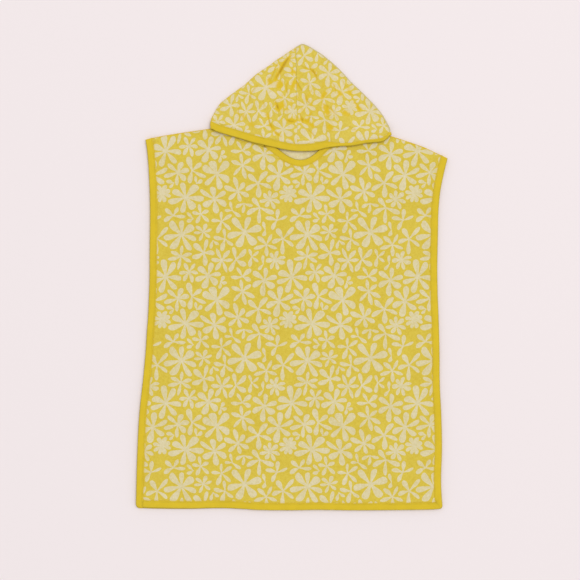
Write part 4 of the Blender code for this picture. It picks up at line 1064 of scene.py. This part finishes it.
# ---- Tapes -------------------------------------------------------------------------------------------
def tape_outline(leg_top, leg_bottom):
    """The folded tape's section as depths from its fold and heights from its middle."""
    cavity = GAP + PRESSED / 2
    turns = np.linspace(-math.pi / 2, math.pi / 2, NOSE_STEPS + 1)[1:-1]
    nose = [(NOSE - NOSE * math.cos(t), NOSE * math.sin(t)) for t in turns]

    def leg(long, face):
        reach = long - STITCH_IN
        swell = [(mix(NOSE, reach, share), face * (NOSE + height)) for share, height in TAPE_SWELL]
        return swell + [(long - back, face * (NOSE + height)) for back, height in TAPE_EDGE]

    def lining(long, face):
        return [(long - LINING_IN, face * cavity), (long / 2, face * cavity)]

    top = leg(leg_top, 1.0) + lining(leg_top, 1.0)
    inside = [(NOSE, cavity), (TAPE, 0.0), (NOSE, -cavity)]
    bottom = lining(leg_bottom, -1.0)[::-1]
    return np.array(leg(leg_bottom, -1.0)[::-1] + nose + top + inside + bottom)


def tape_faces(count, size):
    """The faces between a tape's sections, each of so many points."""
    faces = []
    for r in range(count - 1):
        for c in range(size):
            d = (c + 1) % size
            faces.append((r * size + c, r * size + d, (r + 1) * size + d, (r + 1) * size + c))
    return faces


def capped(outline, base, turned):
    """Triangles that close a tape's end, from a triangulation of its section."""
    places = [Vector(place) for place in outline]
    loop = list(range(len(outline)))
    _, _, triangles, origins, _, _ = delaunay_2d_cdt(places, [], [loop], 1, CAP_MERGE, True)
    return [tuple(base + origins[i][0] for i in (t[::-1] if turned else t)) for t in triangles]


class Tape:
    """A folded tape swept through stations; each is a fold, an inner edge and a level."""

    def __init__(self, name):
        self.name = name
        self.sections = []
        self.outlines = []
        self.stitches = ([], [])

    def flat(self, fold, inner, level, stitch=True):
        """A station on a panel's edge, level from the tape's fold to its inner edge."""
        wide = np.linalg.norm(inner - fold)
        inward = (inner - fold) / wide
        outline = tape_outline(wide, wide)
        plan = fold + outline[:, :1] * inward
        self.sections.append(with_height(plan, level + NOSE + outline[:, 1]))
        self.outlines.append(outline)
        if stitch:
            at = fold + (wide - STITCH_IN) * inward
            self.stitches[0].append((*at, level + TAPE_HIGH - STITCH_SUNK))
            self.stitches[1].append((*at, level + STITCH_SUNK))

    def bent(self, depths, middle, outwards, leg_top, leg_bottom):
        """A station on the hood, where the tape follows the cloth's own curve and fold."""
        outline = tape_outline(leg_top, leg_bottom)

        def place(depth, height):
            at = [np.interp(depth, depths, middle[:, k]) for k in range(3)]
            out = [np.interp(depth, depths, outwards[:, k]) for k in range(3)]
            return np.stack(at, -1) + np.stack(out, -1) * np.asarray(height)[..., None]

        self.sections.append(place(outline[:, 0], outline[:, 1]))
        self.outlines.append(outline)
        self.stitches[0].append(place(leg_top - STITCH_IN, NOSE - STITCH_SUNK))
        self.stitches[1].append(place(leg_bottom - STITCH_IN, STITCH_SUNK - NOSE))

    def build(self, material):
        """The tape as one closed piece."""
        size = len(self.sections[0])
        count = len(self.sections)
        points = np.vstack(self.sections)
        faces = tape_faces(count, size)
        faces += capped(self.outlines[0], 0, True) + capped(self.outlines[-1], (count - 1) * size, False)
        if signed_volume(points, faces) < 0:
            faces = [face[::-1] for face in faces]
        piece = add_piece(self.name, points, faces, None, [material], 60.0)
        self.lay_out(piece, count, size)
        return piece

    def lay_out(self, piece, count, size):
        """A map along and across the tape, in metres, for its weave."""
        middles = np.array([s[size // 2] for s in self.sections])
        run = np.concatenate([[0.0], np.cumsum(np.linalg.norm(np.diff(middles, axis=0), axis=1))])
        across = np.concatenate([outline[:, 0] for outline in self.outlines])
        add_map(piece, "tape", np.repeat(run, size) * MM, across * MM)


def signed_volume(points, faces):
    """Six times the volume inside faces, below zero where they face inwards."""
    total = 0.0
    for face in faces:
        a, b, c = (points[i] for i in face[:3])
        total += np.dot(a, np.cross(b, c))
        if len(face) == 4:
            total += np.dot(a, np.cross(c, points[face[3]]))
    return total


def square_end(tape, hem, level):
    """The left side's tape runs down to the hem, rounded at its corner."""
    corner = hem.at(0.0)
    inner = hem.at(EDGE_TAPE / hem.length)
    drop = inner[1] - corner[1]
    for share in np.linspace(0, 1, CORNER_STEPS + 1):
        angle = (math.pi / 2) * (1 - share)
        fold = corner + CORNER_RADIUS * np.array([1 - math.cos(angle), 1 - math.sin(angle)])
        fallen = np.array([0.0, drop * math.sin(angle)])
        at = np.array([inner[0], fold[1]]) + fallen
        tape.flat(fold + fallen * CORNER_RADIUS / EDGE_TAPE, at, level, share > 0.5)


def mitred_corner(tape, corner, along_hem, level):
    """The right side's tape and the hem's meet on the diagonal of the rounded corner."""
    inner = corner + np.array([-1.0, 1.0]) * EDGE_TAPE
    centre = corner + np.array([-1.0, 1.0]) * CORNER_RADIUS
    way, moved = (1, np.array([-1.0, 0.0])) if along_hem else (-1, np.array([0.0, 1.0]))
    for share in np.linspace(0, 1, CORNER_STEPS)[::-way]:
        angle = (math.pi / 4) * (1 + way * share)
        fold = centre + CORNER_RADIUS * np.array([math.cos(angle), -math.sin(angle)])
        clear = -way * np.array([1.0, 1.0]) / math.sqrt(2) * GAP / 2 * (1 - share)
        tape.flat(fold + clear, inner + clear + MITRE_ON * share * moved, level, share > 0.5)


def stations(line, start, end, step):
    """Shares of a line's length a step apart, from one distance along it to another from its end."""
    first, last = start / line.length, 1 - end / line.length
    return np.linspace(first, last, int((last - first) * line.length / step))


def side_tape(name, side, shoulder, hem, turn, level):
    """A tape on a panel's side: squared off at the left corner and mitred at the right."""
    tape = Tape(name)
    if turn > 0:
        square_end(tape, hem, level)
    else:
        mitred_corner(tape, hem.at(1.0), False, level)
    shares = stations(side, EDGE_TAPE + CORNER_PAST, SHOULDER_PAST, TAPE_STEP)
    for share, inward in zip(shares, -turn * left_of(side.heading(shares))):
        tape.flat(side.at(share), side.at(share) + inward * EDGE_TAPE, level)
    tape.flat(side.at(1.0), shoulder, level)
    return tape


def hem_tape(name, hem, level):
    """A tape along a hem: butted against the left side's, and mitred with the right side's."""
    tape = Tape(name)
    shares = stations(hem, EDGE_TAPE + GAP, EDGE_TAPE + CORNER_PAST, TAPE_STEP)
    ways = left_of(hem.heading(shares))
    ways[0] = left_side.heading(EDGE_TAPE / left_side.length)
    for share, inward in zip(shares, ways):
        tape.flat(hem.at(share), hem.at(share) + inward * EDGE_TAPE, level)
    mitred_corner(tape, hem.at(1.0), True, level)
    return tape


def neck_tape():
    """The tape round the front's neckline, with its ends along the shoulders."""
    tape = Tape("neck_tape")
    left_end = left_shoulder.at(1 - NECK_END / left_shoulder.length)
    right_end = right_shoulder.at(NECK_END / right_shoulder.length)
    tape.flat(front_neck.at(0.0), left_end, NECK_TAPE_LEVEL)
    shares = np.linspace(NECK_SHARE, 1 - NECK_SHARE, int(front_neck.length / NECK_STEP))
    for share, outward in zip(shares, -left_of(front_neck.heading(shares))):
        tape.flat(front_neck.at(share), front_neck.at(share) + outward * NECK_TAPE, NECK_TAPE_LEVEL)
    tape.flat(front_neck.at(1.0), right_end, NECK_TAPE_LEVEL)
    return tape


def hood_tape(left, right):
    """The tape round the hood's face, from under its left side over the seam to under its right."""
    tape = Tape("hood_face_tape")
    for side, columns in ((left, slice(None, 0, -1)), (right, slice(1, None))):
        depths, wall = side.tape_frames()
        for column in range(wall.middle.shape[1])[columns]:
            shown = float(wall.shown[0, column])
            tape.bent(depths, wall.middle[:, column], wall.outwards[:, column], shown, HOOD_TAPE)
    return tape


# ---- Shaders -----------------------------------------------------------------------------------------
class Value:
    """A socket of a shader's tree, with arithmetic."""

    def __init__(self, shader, socket):
        self.shader = shader
        self.socket = socket

    def math(self, operation, first, second=0.0, third=0.0):
        return self.shader.node("ShaderNodeMath", {"operation": operation}, {0: first, 1: second, 2: third})

    def __add__(self, other):
        return self.math("ADD", self, other)

    def __sub__(self, other):
        return self.math("SUBTRACT", self, other)

    def __rsub__(self, other):
        return self.math("SUBTRACT", other, self)

    def __mul__(self, other):
        return self.math("MULTIPLY", self, other)

    __radd__ = __add__
    __rmul__ = __mul__

    def sine(self):
        return self.math("SINE", self)

    def size(self):
        return self.math("ABSOLUTE", self)

    def eased(self, low, high):
        """0 at low, 1 at high, and smooth between them."""
        sockets = {"Value": self, "From Min": low, "From Max": high}
        return self.shader.node("ShaderNodeMapRange", {"interpolation_type": "SMOOTHSTEP"}, sockets)


class Shader:
    """A material, and the one way in which nodes are added to it."""

    def __init__(self, name, roughness, sheen=0.0):
        self.material = bpy.data.materials.new(name)
        self.material.use_nodes = True
        self.tree = self.material.node_tree
        self.surface = self.tree.nodes["Principled BSDF"]
        self.surface.inputs["Roughness"].default_value = roughness
        self.surface.inputs["Specular IOR Level"].default_value = 0.2
        self.surface.inputs["Sheen Weight"].default_value = sheen
        self.surface.inputs["Sheen Roughness"].default_value = 0.6

    def node(self, kind, settings, sockets, output=0):
        made = self.tree.nodes.new(kind)
        for key, value in settings.items():
            setattr(made, key, value)
        for key, value in sockets.items():
            self.feed(made.inputs[key], value)
        return Value(self, made.outputs[output])

    def feed(self, socket, value):
        if isinstance(value, Value):
            self.tree.links.new(value.socket, socket)
        else:
            socket.default_value = value

    def places(self):
        return self.node("ShaderNodeTexCoord", {}, {}, "Object")

    def map_value(self, name, axis):
        """One value of a piece's own map."""
        place = self.node("ShaderNodeUVMap", {"uv_map": name}, {})
        return self.node("ShaderNodeSeparateXYZ", {}, {0: place}, axis)

    def noise(self, scale, detail=2.0, roughness=0.55):
        """A pattern with so many features to the metre."""
        sockets = {"Vector": self.places(), "Scale": scale, "Detail": detail, "Roughness": roughness}
        return self.node("ShaderNodeTexNoise", {}, sockets)

    def cells(self, scale):
        return self.node("ShaderNodeTexVoronoi", {}, {"Vector": self.places(), "Scale": scale})

    def blend(self, share, first, second):
        return self.node("ShaderNodeMix", {"data_type": "RGBA"}, {0: share, 6: first, 7: second}, 2)

    def raise_by(self, height, depth):
        bump = self.node("ShaderNodeBump", {}, {"Height": height, "Distance": depth})
        self.feed(self.surface.inputs["Normal"], bump)


def linear(red, green, blue):
    """A colour given as it shows on a screen, in the light's own numbers."""
    shown = np.array([red, green, blue]) / 255
    lit = np.where(shown <= 0.04045, shown / 12.92, ((shown + 0.055) / 1.055) ** 2.4)
    return tuple(float(part) for part in lit)


def dyed(colour, share=1.0):
    """A colour for a socket, deepened or paled by one share or by one for each of its parts."""
    return (*np.minimum(1.0, np.multiply(tuple(colour), share)).tolist(), 1.0)


# Painted shade: golden for hollows and the crevices beside tapes, brown-gold for grooves and shoulder seams
PAINTED_HOLLOW_SHADE = dyed(linear(224, 190, 32))
PAINTED_GROOVE_SHADE = dyed(linear(180, 138, 20))
GREY_TURN_DYE = dyed(linear(200, 187, 134))  # a greyish cream where the hood's right side turns round its edge


def terry(name, colour):
    """Looped pile: loops a millimetre or so across, over a slower unevenness of lie and dye."""
    shader = Shader(name, 0.95, 0.12)
    loops = shader.noise(760.0, 3.0, 0.7)
    tufts = shader.noise(240.0, 2.0, 0.6)
    lie = shader.noise(26.0, 3.0, 0.6)
    tone = loops * 0.45 + tufts * 0.35 + lie * 0.2
    deep = dyed(colour, (0.90, 0.85, 0.62))
    pale = dyed(colour, (1.08, 1.10, 1.34))
    dye = shader.blend(tone.eased(0.3, 0.7), deep, pale)
    # The hollow map paints shade, golden in hollows and deeper in grooves; below zero it paints a greyish
    # cream
    hollow = shader.map_value("hollow", "X")
    dye = shader.blend(hollow.eased(0.0, 0.9) * 0.95, dye, PAINTED_HOLLOW_SHADE)
    dye = shader.blend(hollow.eased(1.0, 2.4) * 0.75, dye, PAINTED_GROOVE_SHADE)
    dye = shader.blend((0 - hollow).eased(0.1, 0.9) * 0.85, dye, GREY_TURN_DYE)
    shader.feed(shader.surface.inputs["Base Color"], dye)
    shader.raise_by(loops * 0.5 + tufts * 0.5, 0.0010)
    return shader.material


def woven_tape(name, colour):
    """A fine rib across the tape, golden along its middle, with painted shade round its fold."""
    shader = Shader(name, 0.8, 0.05)
    along = shader.map_value("tape", "X")
    across = shader.map_value("tape", "Y")
    rib = (along * (2 * math.pi / RIB)).sine() * 0.5 + 0.5
    middle = 1 - (across - TAPE_MIDDLE).size().eased(0.0015, 0.0050)
    weave = shader.noise(900.0, 2.0, 0.6)
    rubbed = shader.noise(60.0, 3.0, 0.6)
    tone = shader.blend(rubbed.eased(0.3, 0.7), dyed(colour, 0.92), dyed(colour, 1.02))
    tone = shader.blend(middle * 0.55, tone, dyed(colour, (1.04, 0.99, 0.72)))
    # Painted shade round the tape's fold, where its outer edge turns down away from the light
    tone = shader.blend((1 - across.eased(0.0, 0.0018)) * 0.7, tone, dyed(colour, 0.42))
    tone = shader.blend(rib * 0.12 + weave * 0.18, tone, dyed(colour, 0.55))
    shader.feed(shader.surface.inputs["Base Color"], tone)
    shader.raise_by(rib * 0.6 + weave * 0.4, 0.0002)
    return shader.material


def thread(name, colour):
    shader = Shader(name, 0.6)
    twist = shader.noise(1400.0)
    shade = shader.blend(twist.eased(0.35, 0.65), dyed(colour, 0.8), dyed(colour, 1.1))
    shader.feed(shader.surface.inputs["Base Color"], shade)
    return shader.material


def material(name, make, colour):
    """The material of that name, made once."""
    return bpy.data.materials.get(name) or make(name, tuple(colour))


# ---- Stitching ---------------------------------------------------------------------------------------
class Geometry:
    """A Geometry Nodes tree, and the one way in which nodes are added to it."""

    def __init__(self, name, inputs):
        self.tree = bpy.data.node_groups.new(name, "GeometryNodeTree")
        self.identifiers = {}
        for label, kind in [("Geometry", "NodeSocketGeometry")] + inputs:
            socket = self.tree.interface.new_socket(label, in_out="INPUT", socket_type=kind)
            self.identifiers[label] = socket.identifier
        self.tree.interface.new_socket("Geometry", in_out="OUTPUT", socket_type="NodeSocketGeometry")
        self.given = self.tree.nodes.new("NodeGroupInput").outputs

    def node(self, kind, settings, sockets):
        made = self.tree.nodes.new(kind)
        for key, value in settings.items():
            setattr(made, key, value)
        for key, value in sockets.items():
            if isinstance(value, bpy.types.NodeSocket):
                self.tree.links.new(value, made.inputs[key])
            else:
                made.inputs[key].default_value = value
        return made.outputs

    def finish(self, geometry):
        self.tree.links.new(geometry, self.tree.nodes.new("NodeGroupOutput").inputs[0])


def stitch_tree():
    """One flattened grain of thread at each pitch along every line of a mesh."""
    inputs = [("Pitch", "NodeSocketFloat"), ("Length", "NodeSocketFloat"), ("Thread", "NodeSocketFloat")]
    made = Geometry("stitches", inputs + [("Material", "NodeSocketMaterial")])
    given = made.given
    curve = made.node("GeometryNodeMeshToCurve", {}, {"Mesh": given["Geometry"]})["Curve"]
    sockets = {"Curve": curve, "Length": given["Pitch"]}
    points = made.node("GeometryNodeCurveToPoints", {"mode": "LENGTH"}, sockets)
    sockets = {"Vector": points["Tangent"]}
    turned = made.node("FunctionNodeAlignRotationToVector", {"axis": "X"}, sockets)["Rotation"]
    grain = made.node("GeometryNodeMeshUVSphere", {}, {"Segments": 6, "Rings": 4, "Radius": 0.5})["Mesh"]
    size = {"X": given["Length"], "Y": given["Thread"], "Z": given["Thread"]}
    size = made.node("ShaderNodeCombineXYZ", {}, size)["Vector"]
    uneven = {"Min": (0.9, 0.85, 0.85), "Max": (1.08, 1.1, 1.1), "Seed": 5}
    uneven = made.node("FunctionNodeRandomValue", {"data_type": "FLOAT_VECTOR"}, uneven)["Value"]
    size = made.node("ShaderNodeVectorMath", {"operation": "MULTIPLY"}, {0: size, 1: uneven})["Vector"]
    sockets = {"Points": points["Points"], "Instance": grain, "Rotation": turned, "Scale": size}
    placed = made.node("GeometryNodeInstanceOnPoints", {}, sockets)["Instances"]
    real = made.node("GeometryNodeRealizeInstances", {}, {"Geometry": placed})["Geometry"]
    soft = made.node("GeometryNodeSetShadeSmooth", {}, {"Geometry": real})["Geometry"]
    sockets = {"Geometry": soft, "Material": given["Material"]}
    made.finish(made.node("GeometryNodeSetMaterial", {}, sockets)["Geometry"])
    return made


def sew(name, lines, settings):
    """Stitches along lines of places in millimetres, as one plain mesh."""
    points = np.vstack([np.array(line) for line in lines])
    starts = np.cumsum([0] + [len(line) for line in lines])
    edges = [(i, i + 1) for a, b in zip(starts, starts[1:]) for i in range(a, b - 1)]
    mesh = bpy.data.meshes.new(name)
    mesh.from_pydata(points * MM, edges, [])
    piece = add_object(name, mesh)
    made = stitch_tree()
    modifier = piece.modifiers.new("stitches", "NODES")
    modifier.node_group = made.tree
    modifier[made.identifiers["Pitch"]] = settings.stitch_pitch
    modifier[made.identifiers["Length"]] = settings.stitch_length
    modifier[made.identifiers["Thread"]] = settings.stitch_thread
    modifier[made.identifiers["Material"]] = material("sewing_thread", thread, settings.thread_colour)
    seen = piece.evaluated_get(bpy.context.evaluated_depsgraph_get())
    piece.data = bpy.data.meshes.new_from_object(seen)
    piece.modifiers.clear()
    return piece


# ---- What the user can change ------------------------------------------------------------------------
def colour_setting(name, description, red, green, blue):
    shown = {"subtype": "COLOR", "size": 3, "min": 0, "max": 1, "default": linear(red, green, blue)}
    return FloatVectorProperty(name=name, description=description, **shown)


def length_setting(name, description, default, least):
    return FloatProperty(name=name, description=description, default=default, min=least, unit="LENGTH")


class PonchoSettings(bpy.types.PropertyGroup):
    """Sizes and colours of the poncho."""

    repeat: IntProperty(
        name="Repeat", description="Length of the print's repeat in millimetres", default=248, min=150
    )
    seed: IntProperty(name="Seed", description="Changes how the flowers are drawn and laid", default=22)
    hood_print: FloatProperty(
        name="Hood print", description="Scale of the print on the hood", default=0.87, min=0.2
    )
    ground_colour: colour_setting("Ground", "The print's ground on the body", 218, 195, 70)
    petal_colour: colour_setting("Petals", "The print's petals on the body", 222, 211, 165)
    hood_ground: colour_setting("Hood ground", "The print's ground on the hood", 220, 198, 80)
    hood_petal: colour_setting("Hood petals", "The print's petals on the hood", 225, 213, 168)
    inside_colour: colour_setting("Inside", "The cloth's unprinted side", 232, 220, 168)
    tape_colour: colour_setting("Tape", "The folded tape", 227, 198, 46)
    thread_colour: colour_setting("Thread", "The topstitching", 206, 176, 48)
    floor_colour: colour_setting("Floor", "The surface it lies on", 242, 233, 234)
    stitch_pitch: length_setting("Pitch", "From one stitch to the next", 0.0036, 0.002)
    stitch_length: length_setting("Stitch", "Length of a stitch", 0.0027, 0.001)
    stitch_thread: length_setting("Thread width", "Width of the thread", 0.0005, 0.0002)
    surroundings: FloatProperty(
        name="Surroundings", description="Strength of the even light", default=0.72, min=0
    )
    window_power: FloatProperty(
        name="Window", description="Power of the large soft light above", default=440.0, min=0, unit="POWER"
    )


# ---- Pieces ------------------------------------------------------------------------------------------
def finish_piece(piece, slot, *nodes):
    """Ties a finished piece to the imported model."""
    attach(piece, "root")
    if nodes:
        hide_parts(*nodes)
    return piece


def finish_tapes(tapes, name, settings, visible_below=True):
    """Builds tapes with the nodes they stand for, and sews them along their inner edges."""
    woven = material("ribbed_tape", woven_tape, settings.tape_colour)
    for tape, node in tapes:
        finish_piece(tape.build(woven), "binding_tape", node)
    lines = [tape.stitches[0] for tape, _ in tapes]
    if visible_below:
        lines += [tape.stitches[1] for tape, _ in tapes]
    finish_piece(sew(name, lines, settings), "binding_tape")


def panel_tapes(layer, hem, level, settings):
    """The tapes on a panel's sides and hem, and their stitches."""
    left_in = left_shoulder.at(EDGE_TAPE / left_shoulder.length)
    right_in = right_shoulder.at(1 - EDGE_TAPE / right_shoulder.length)
    left = side_tape(f"{layer}_left_tape", left_side, left_in, hem, 1.0, level)
    right = side_tape(f"{layer}_right_tape", right_side, right_in, hem, -1.0, level)
    low = hem_tape(f"{layer}_hem_tape", hem, level)
    tapes = [(left, f"side_binding_{layer}_left"), (right, f"side_binding_{layer}_right")]
    finish_tapes(tapes + [(low, f"hem_binding_{layer}")], f"{layer}_stitches", settings)


def named(*names):
    return [bpy.data.objects[name] for name in names]


def cloth_dyes(settings, on_hood):
    """The materials of a cloth's printed ground and petals and of its plain inside."""
    if on_hood:
        colours = {"hood_ground": settings.hood_ground, "hood_petals": settings.hood_petal}
    else:
        colours = {"printed_ground": settings.ground_colour, "printed_petals": settings.petal_colour}
    colours["unprinted_side"] = settings.inside_colour
    return [material(name, terry, colour) for name, colour in colours.items()]


def lay_cloth(layer, node, sheet, settings):
    """A sheet in its print, tied to the node that it stands for."""
    on_hood = node.startswith("hood")
    scale = settings.hood_print if on_hood else 1.0
    repeat = draw_repeat(settings.repeat, settings.seed)
    flowers = [[outline * scale for outline in flower] for flower in repeat]
    size = settings.repeat * scale
    dyes = cloth_dyes(settings, on_hood)
    piece = printed_cloth(f"{layer}_cloth", sheet, flowers, size, PRINT_SHIFT[layer], dyes)
    return finish_piece(piece, "hood_terry" if on_hood else "printed_terry", node)


class PONCHO_OT_stage(bpy.types.Operator):
    """Add the floor, the camera and the soft lights"""

    bl_idname = "poncho.stage"
    bl_label = "Stage"

    def execute(self, context):
        settings = context.scene.poncho
        mesh = bpy.data.meshes.new("floor")
        turned = ((-1, -1), (1, -1), (1, 1), (-1, 1))
        corners = [(x * FLOOR_HALF, y * FLOOR_HALF, FLOOR_LEVEL) for x, y in turned]
        mesh.from_pydata(corners, [], [(0, 1, 2, 3)])
        plain = Shader("floor", 0.9)
        plain.feed(plain.surface.inputs["Base Color"], dyed(settings.floor_colour))
        mesh.materials.append(plain.material)
        add_object("floor", mesh)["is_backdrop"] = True
        lens = bpy.data.cameras.new("camera")
        lens.lens = LENS
        lens.sensor_width = SENSOR
        camera = add_object("camera", lens)
        camera.location = (*CAMERA_OVER, FRAME_WIDE / SENSOR * LENS + FRAME_HIGH)
        context.scene.camera = camera
        world = bpy.data.worlds.new("room")
        world.use_nodes = True
        around = world.node_tree.nodes["Background"]
        around.inputs["Color"].default_value = SURROUNDINGS_TINT
        around.inputs["Strength"].default_value = settings.surroundings
        context.scene.world = world
        light = bpy.data.lights.new("window", "AREA")
        light.energy = settings.window_power
        light.size = WINDOW_SIZE
        lamp = add_object("window", light)
        lamp.location = WINDOW_AT
        lamp.rotation_euler = lamp.location.to_track_quat("Z", "Y").to_euler()
        context.scene.view_settings.view_transform = "Standard"
        return {"FINISHED"}


class PONCHO_OT_back_tapes(bpy.types.Operator):
    """Bind the sides and the hem of the back"""

    bl_idname = "poncho.back_tapes"
    bl_label = "Back tapes"

    def execute(self, context):
        panel_tapes("back", back_hem, 0.0, context.scene.poncho)
        return {"FINISHED"}


class PONCHO_OT_front_tapes(bpy.types.Operator):
    """Bind the sides and the hem of the front"""

    bl_idname = "poncho.front_tapes"
    bl_label = "Front tapes"

    def execute(self, context):
        panel_tapes("front", front_hem, FRONT_TAPE_LEVEL, context.scene.poncho)
        return {"FINISHED"}


class PONCHO_OT_neck_tape(bpy.types.Operator):
    """Bind the front of the neck"""

    bl_idname = "poncho.neck_tape"
    bl_label = "Neck tape"

    def execute(self, context):
        finish_tapes([(neck_tape(), "neck_binding")], "neck_stitches", context.scene.poncho, False)
        return {"FINISHED"}


class PONCHO_OT_back(bpy.types.Operator):
    """Lay the back panel, its printed side down"""

    bl_idname = "poncho.back"
    bl_label = "Back"

    def execute(self, context):
        sheet = panel_sheet("back", back_neck, back_hem, 0.0, 0.0)
        piece = lay_cloth("back", "back_panel", sheet, context.scene.poncho)
        area_of(sheet.cut)
        return {"FINISHED"}


class PONCHO_OT_front(bpy.types.Operator):
    """Lay the front panel over the back"""

    bl_idname = "poncho.front"
    bl_label = "Front"

    def execute(self, context):
        neck = front_neck.shifted(-NECK_INSET)
        sheet = panel_sheet("front", neck, front_hem, FRONT_LEVEL, FRONT_TAPE_LEVEL)
        piece = lay_cloth("front", "front_panel", sheet, context.scene.poncho)
        trim = named("front_left_tape", "front_right_tape", "front_hem_tape", "front_stitches")
        trim += named("neck_tape", "neck_stitches")
        area = area_of(sheet.cut)
        return {"FINISHED"}


class PONCHO_OT_hood(bpy.types.Operator):
    """Lay the two sides of the hood over the neckline, with the tape round its face"""

    bl_idname = "poncho.hood"
    bl_label = "Hood"

    def execute(self, context):
        settings = context.scene.poncho
        sides = {"hood_left": HoodSide(-1), "hood_right": HoodSide(1)}
        finish_tapes([(hood_tape(*sides.values()), "hood_binding")], "hood_stitches", settings)
        for name, side in sides.items():
            sheet = side.sheet(HOOD_ROW)
            piece = lay_cloth(name, name, sheet, settings)
            area = area_of(sheet.outer)
        return {"FINISHED"}


STEPS = (
    PONCHO_OT_stage,
    PONCHO_OT_back_tapes,
    PONCHO_OT_back,
    PONCHO_OT_front_tapes,
    PONCHO_OT_neck_tape,
    PONCHO_OT_front,
    PONCHO_OT_hood,
)


class PONCHO_PT_panel(bpy.types.Panel):
    """The poncho's settings, and a button for each of its pieces"""

    bl_idname = "PONCHO_PT_panel"
    bl_label = "Hooded bath poncho"
    bl_space_type = "VIEW_3D"
    bl_region_type = "UI"
    bl_category = "Poncho"

    def draw(self, context):
        settings = context.scene.poncho
        for name in PonchoSettings.__annotations__:
            self.layout.prop(settings, name)
        for step in STEPS:
            self.layout.operator(step.bl_idname)


def register():
    for made in (PonchoSettings, *STEPS, PONCHO_PT_panel):
        bpy.utils.register_class(made)
    bpy.types.Scene.poncho = PointerProperty(type=PonchoSettings)


def unregister():
    del bpy.types.Scene.poncho
    for made in reversed((PonchoSettings, *STEPS, PONCHO_PT_panel)):
        bpy.utils.unregister_class(made)


def main():
    register()
    for step in STEPS:
        group, name = step.bl_idname.split(".")
        getattr(getattr(bpy.ops, group), name)()
    boxes = {"cad": CAD_BOX, "visual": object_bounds()}
    boxes = {key: [list(corner) for corner in box] for key, box in boxes.items()}


if __name__ == "__main__":
    main()
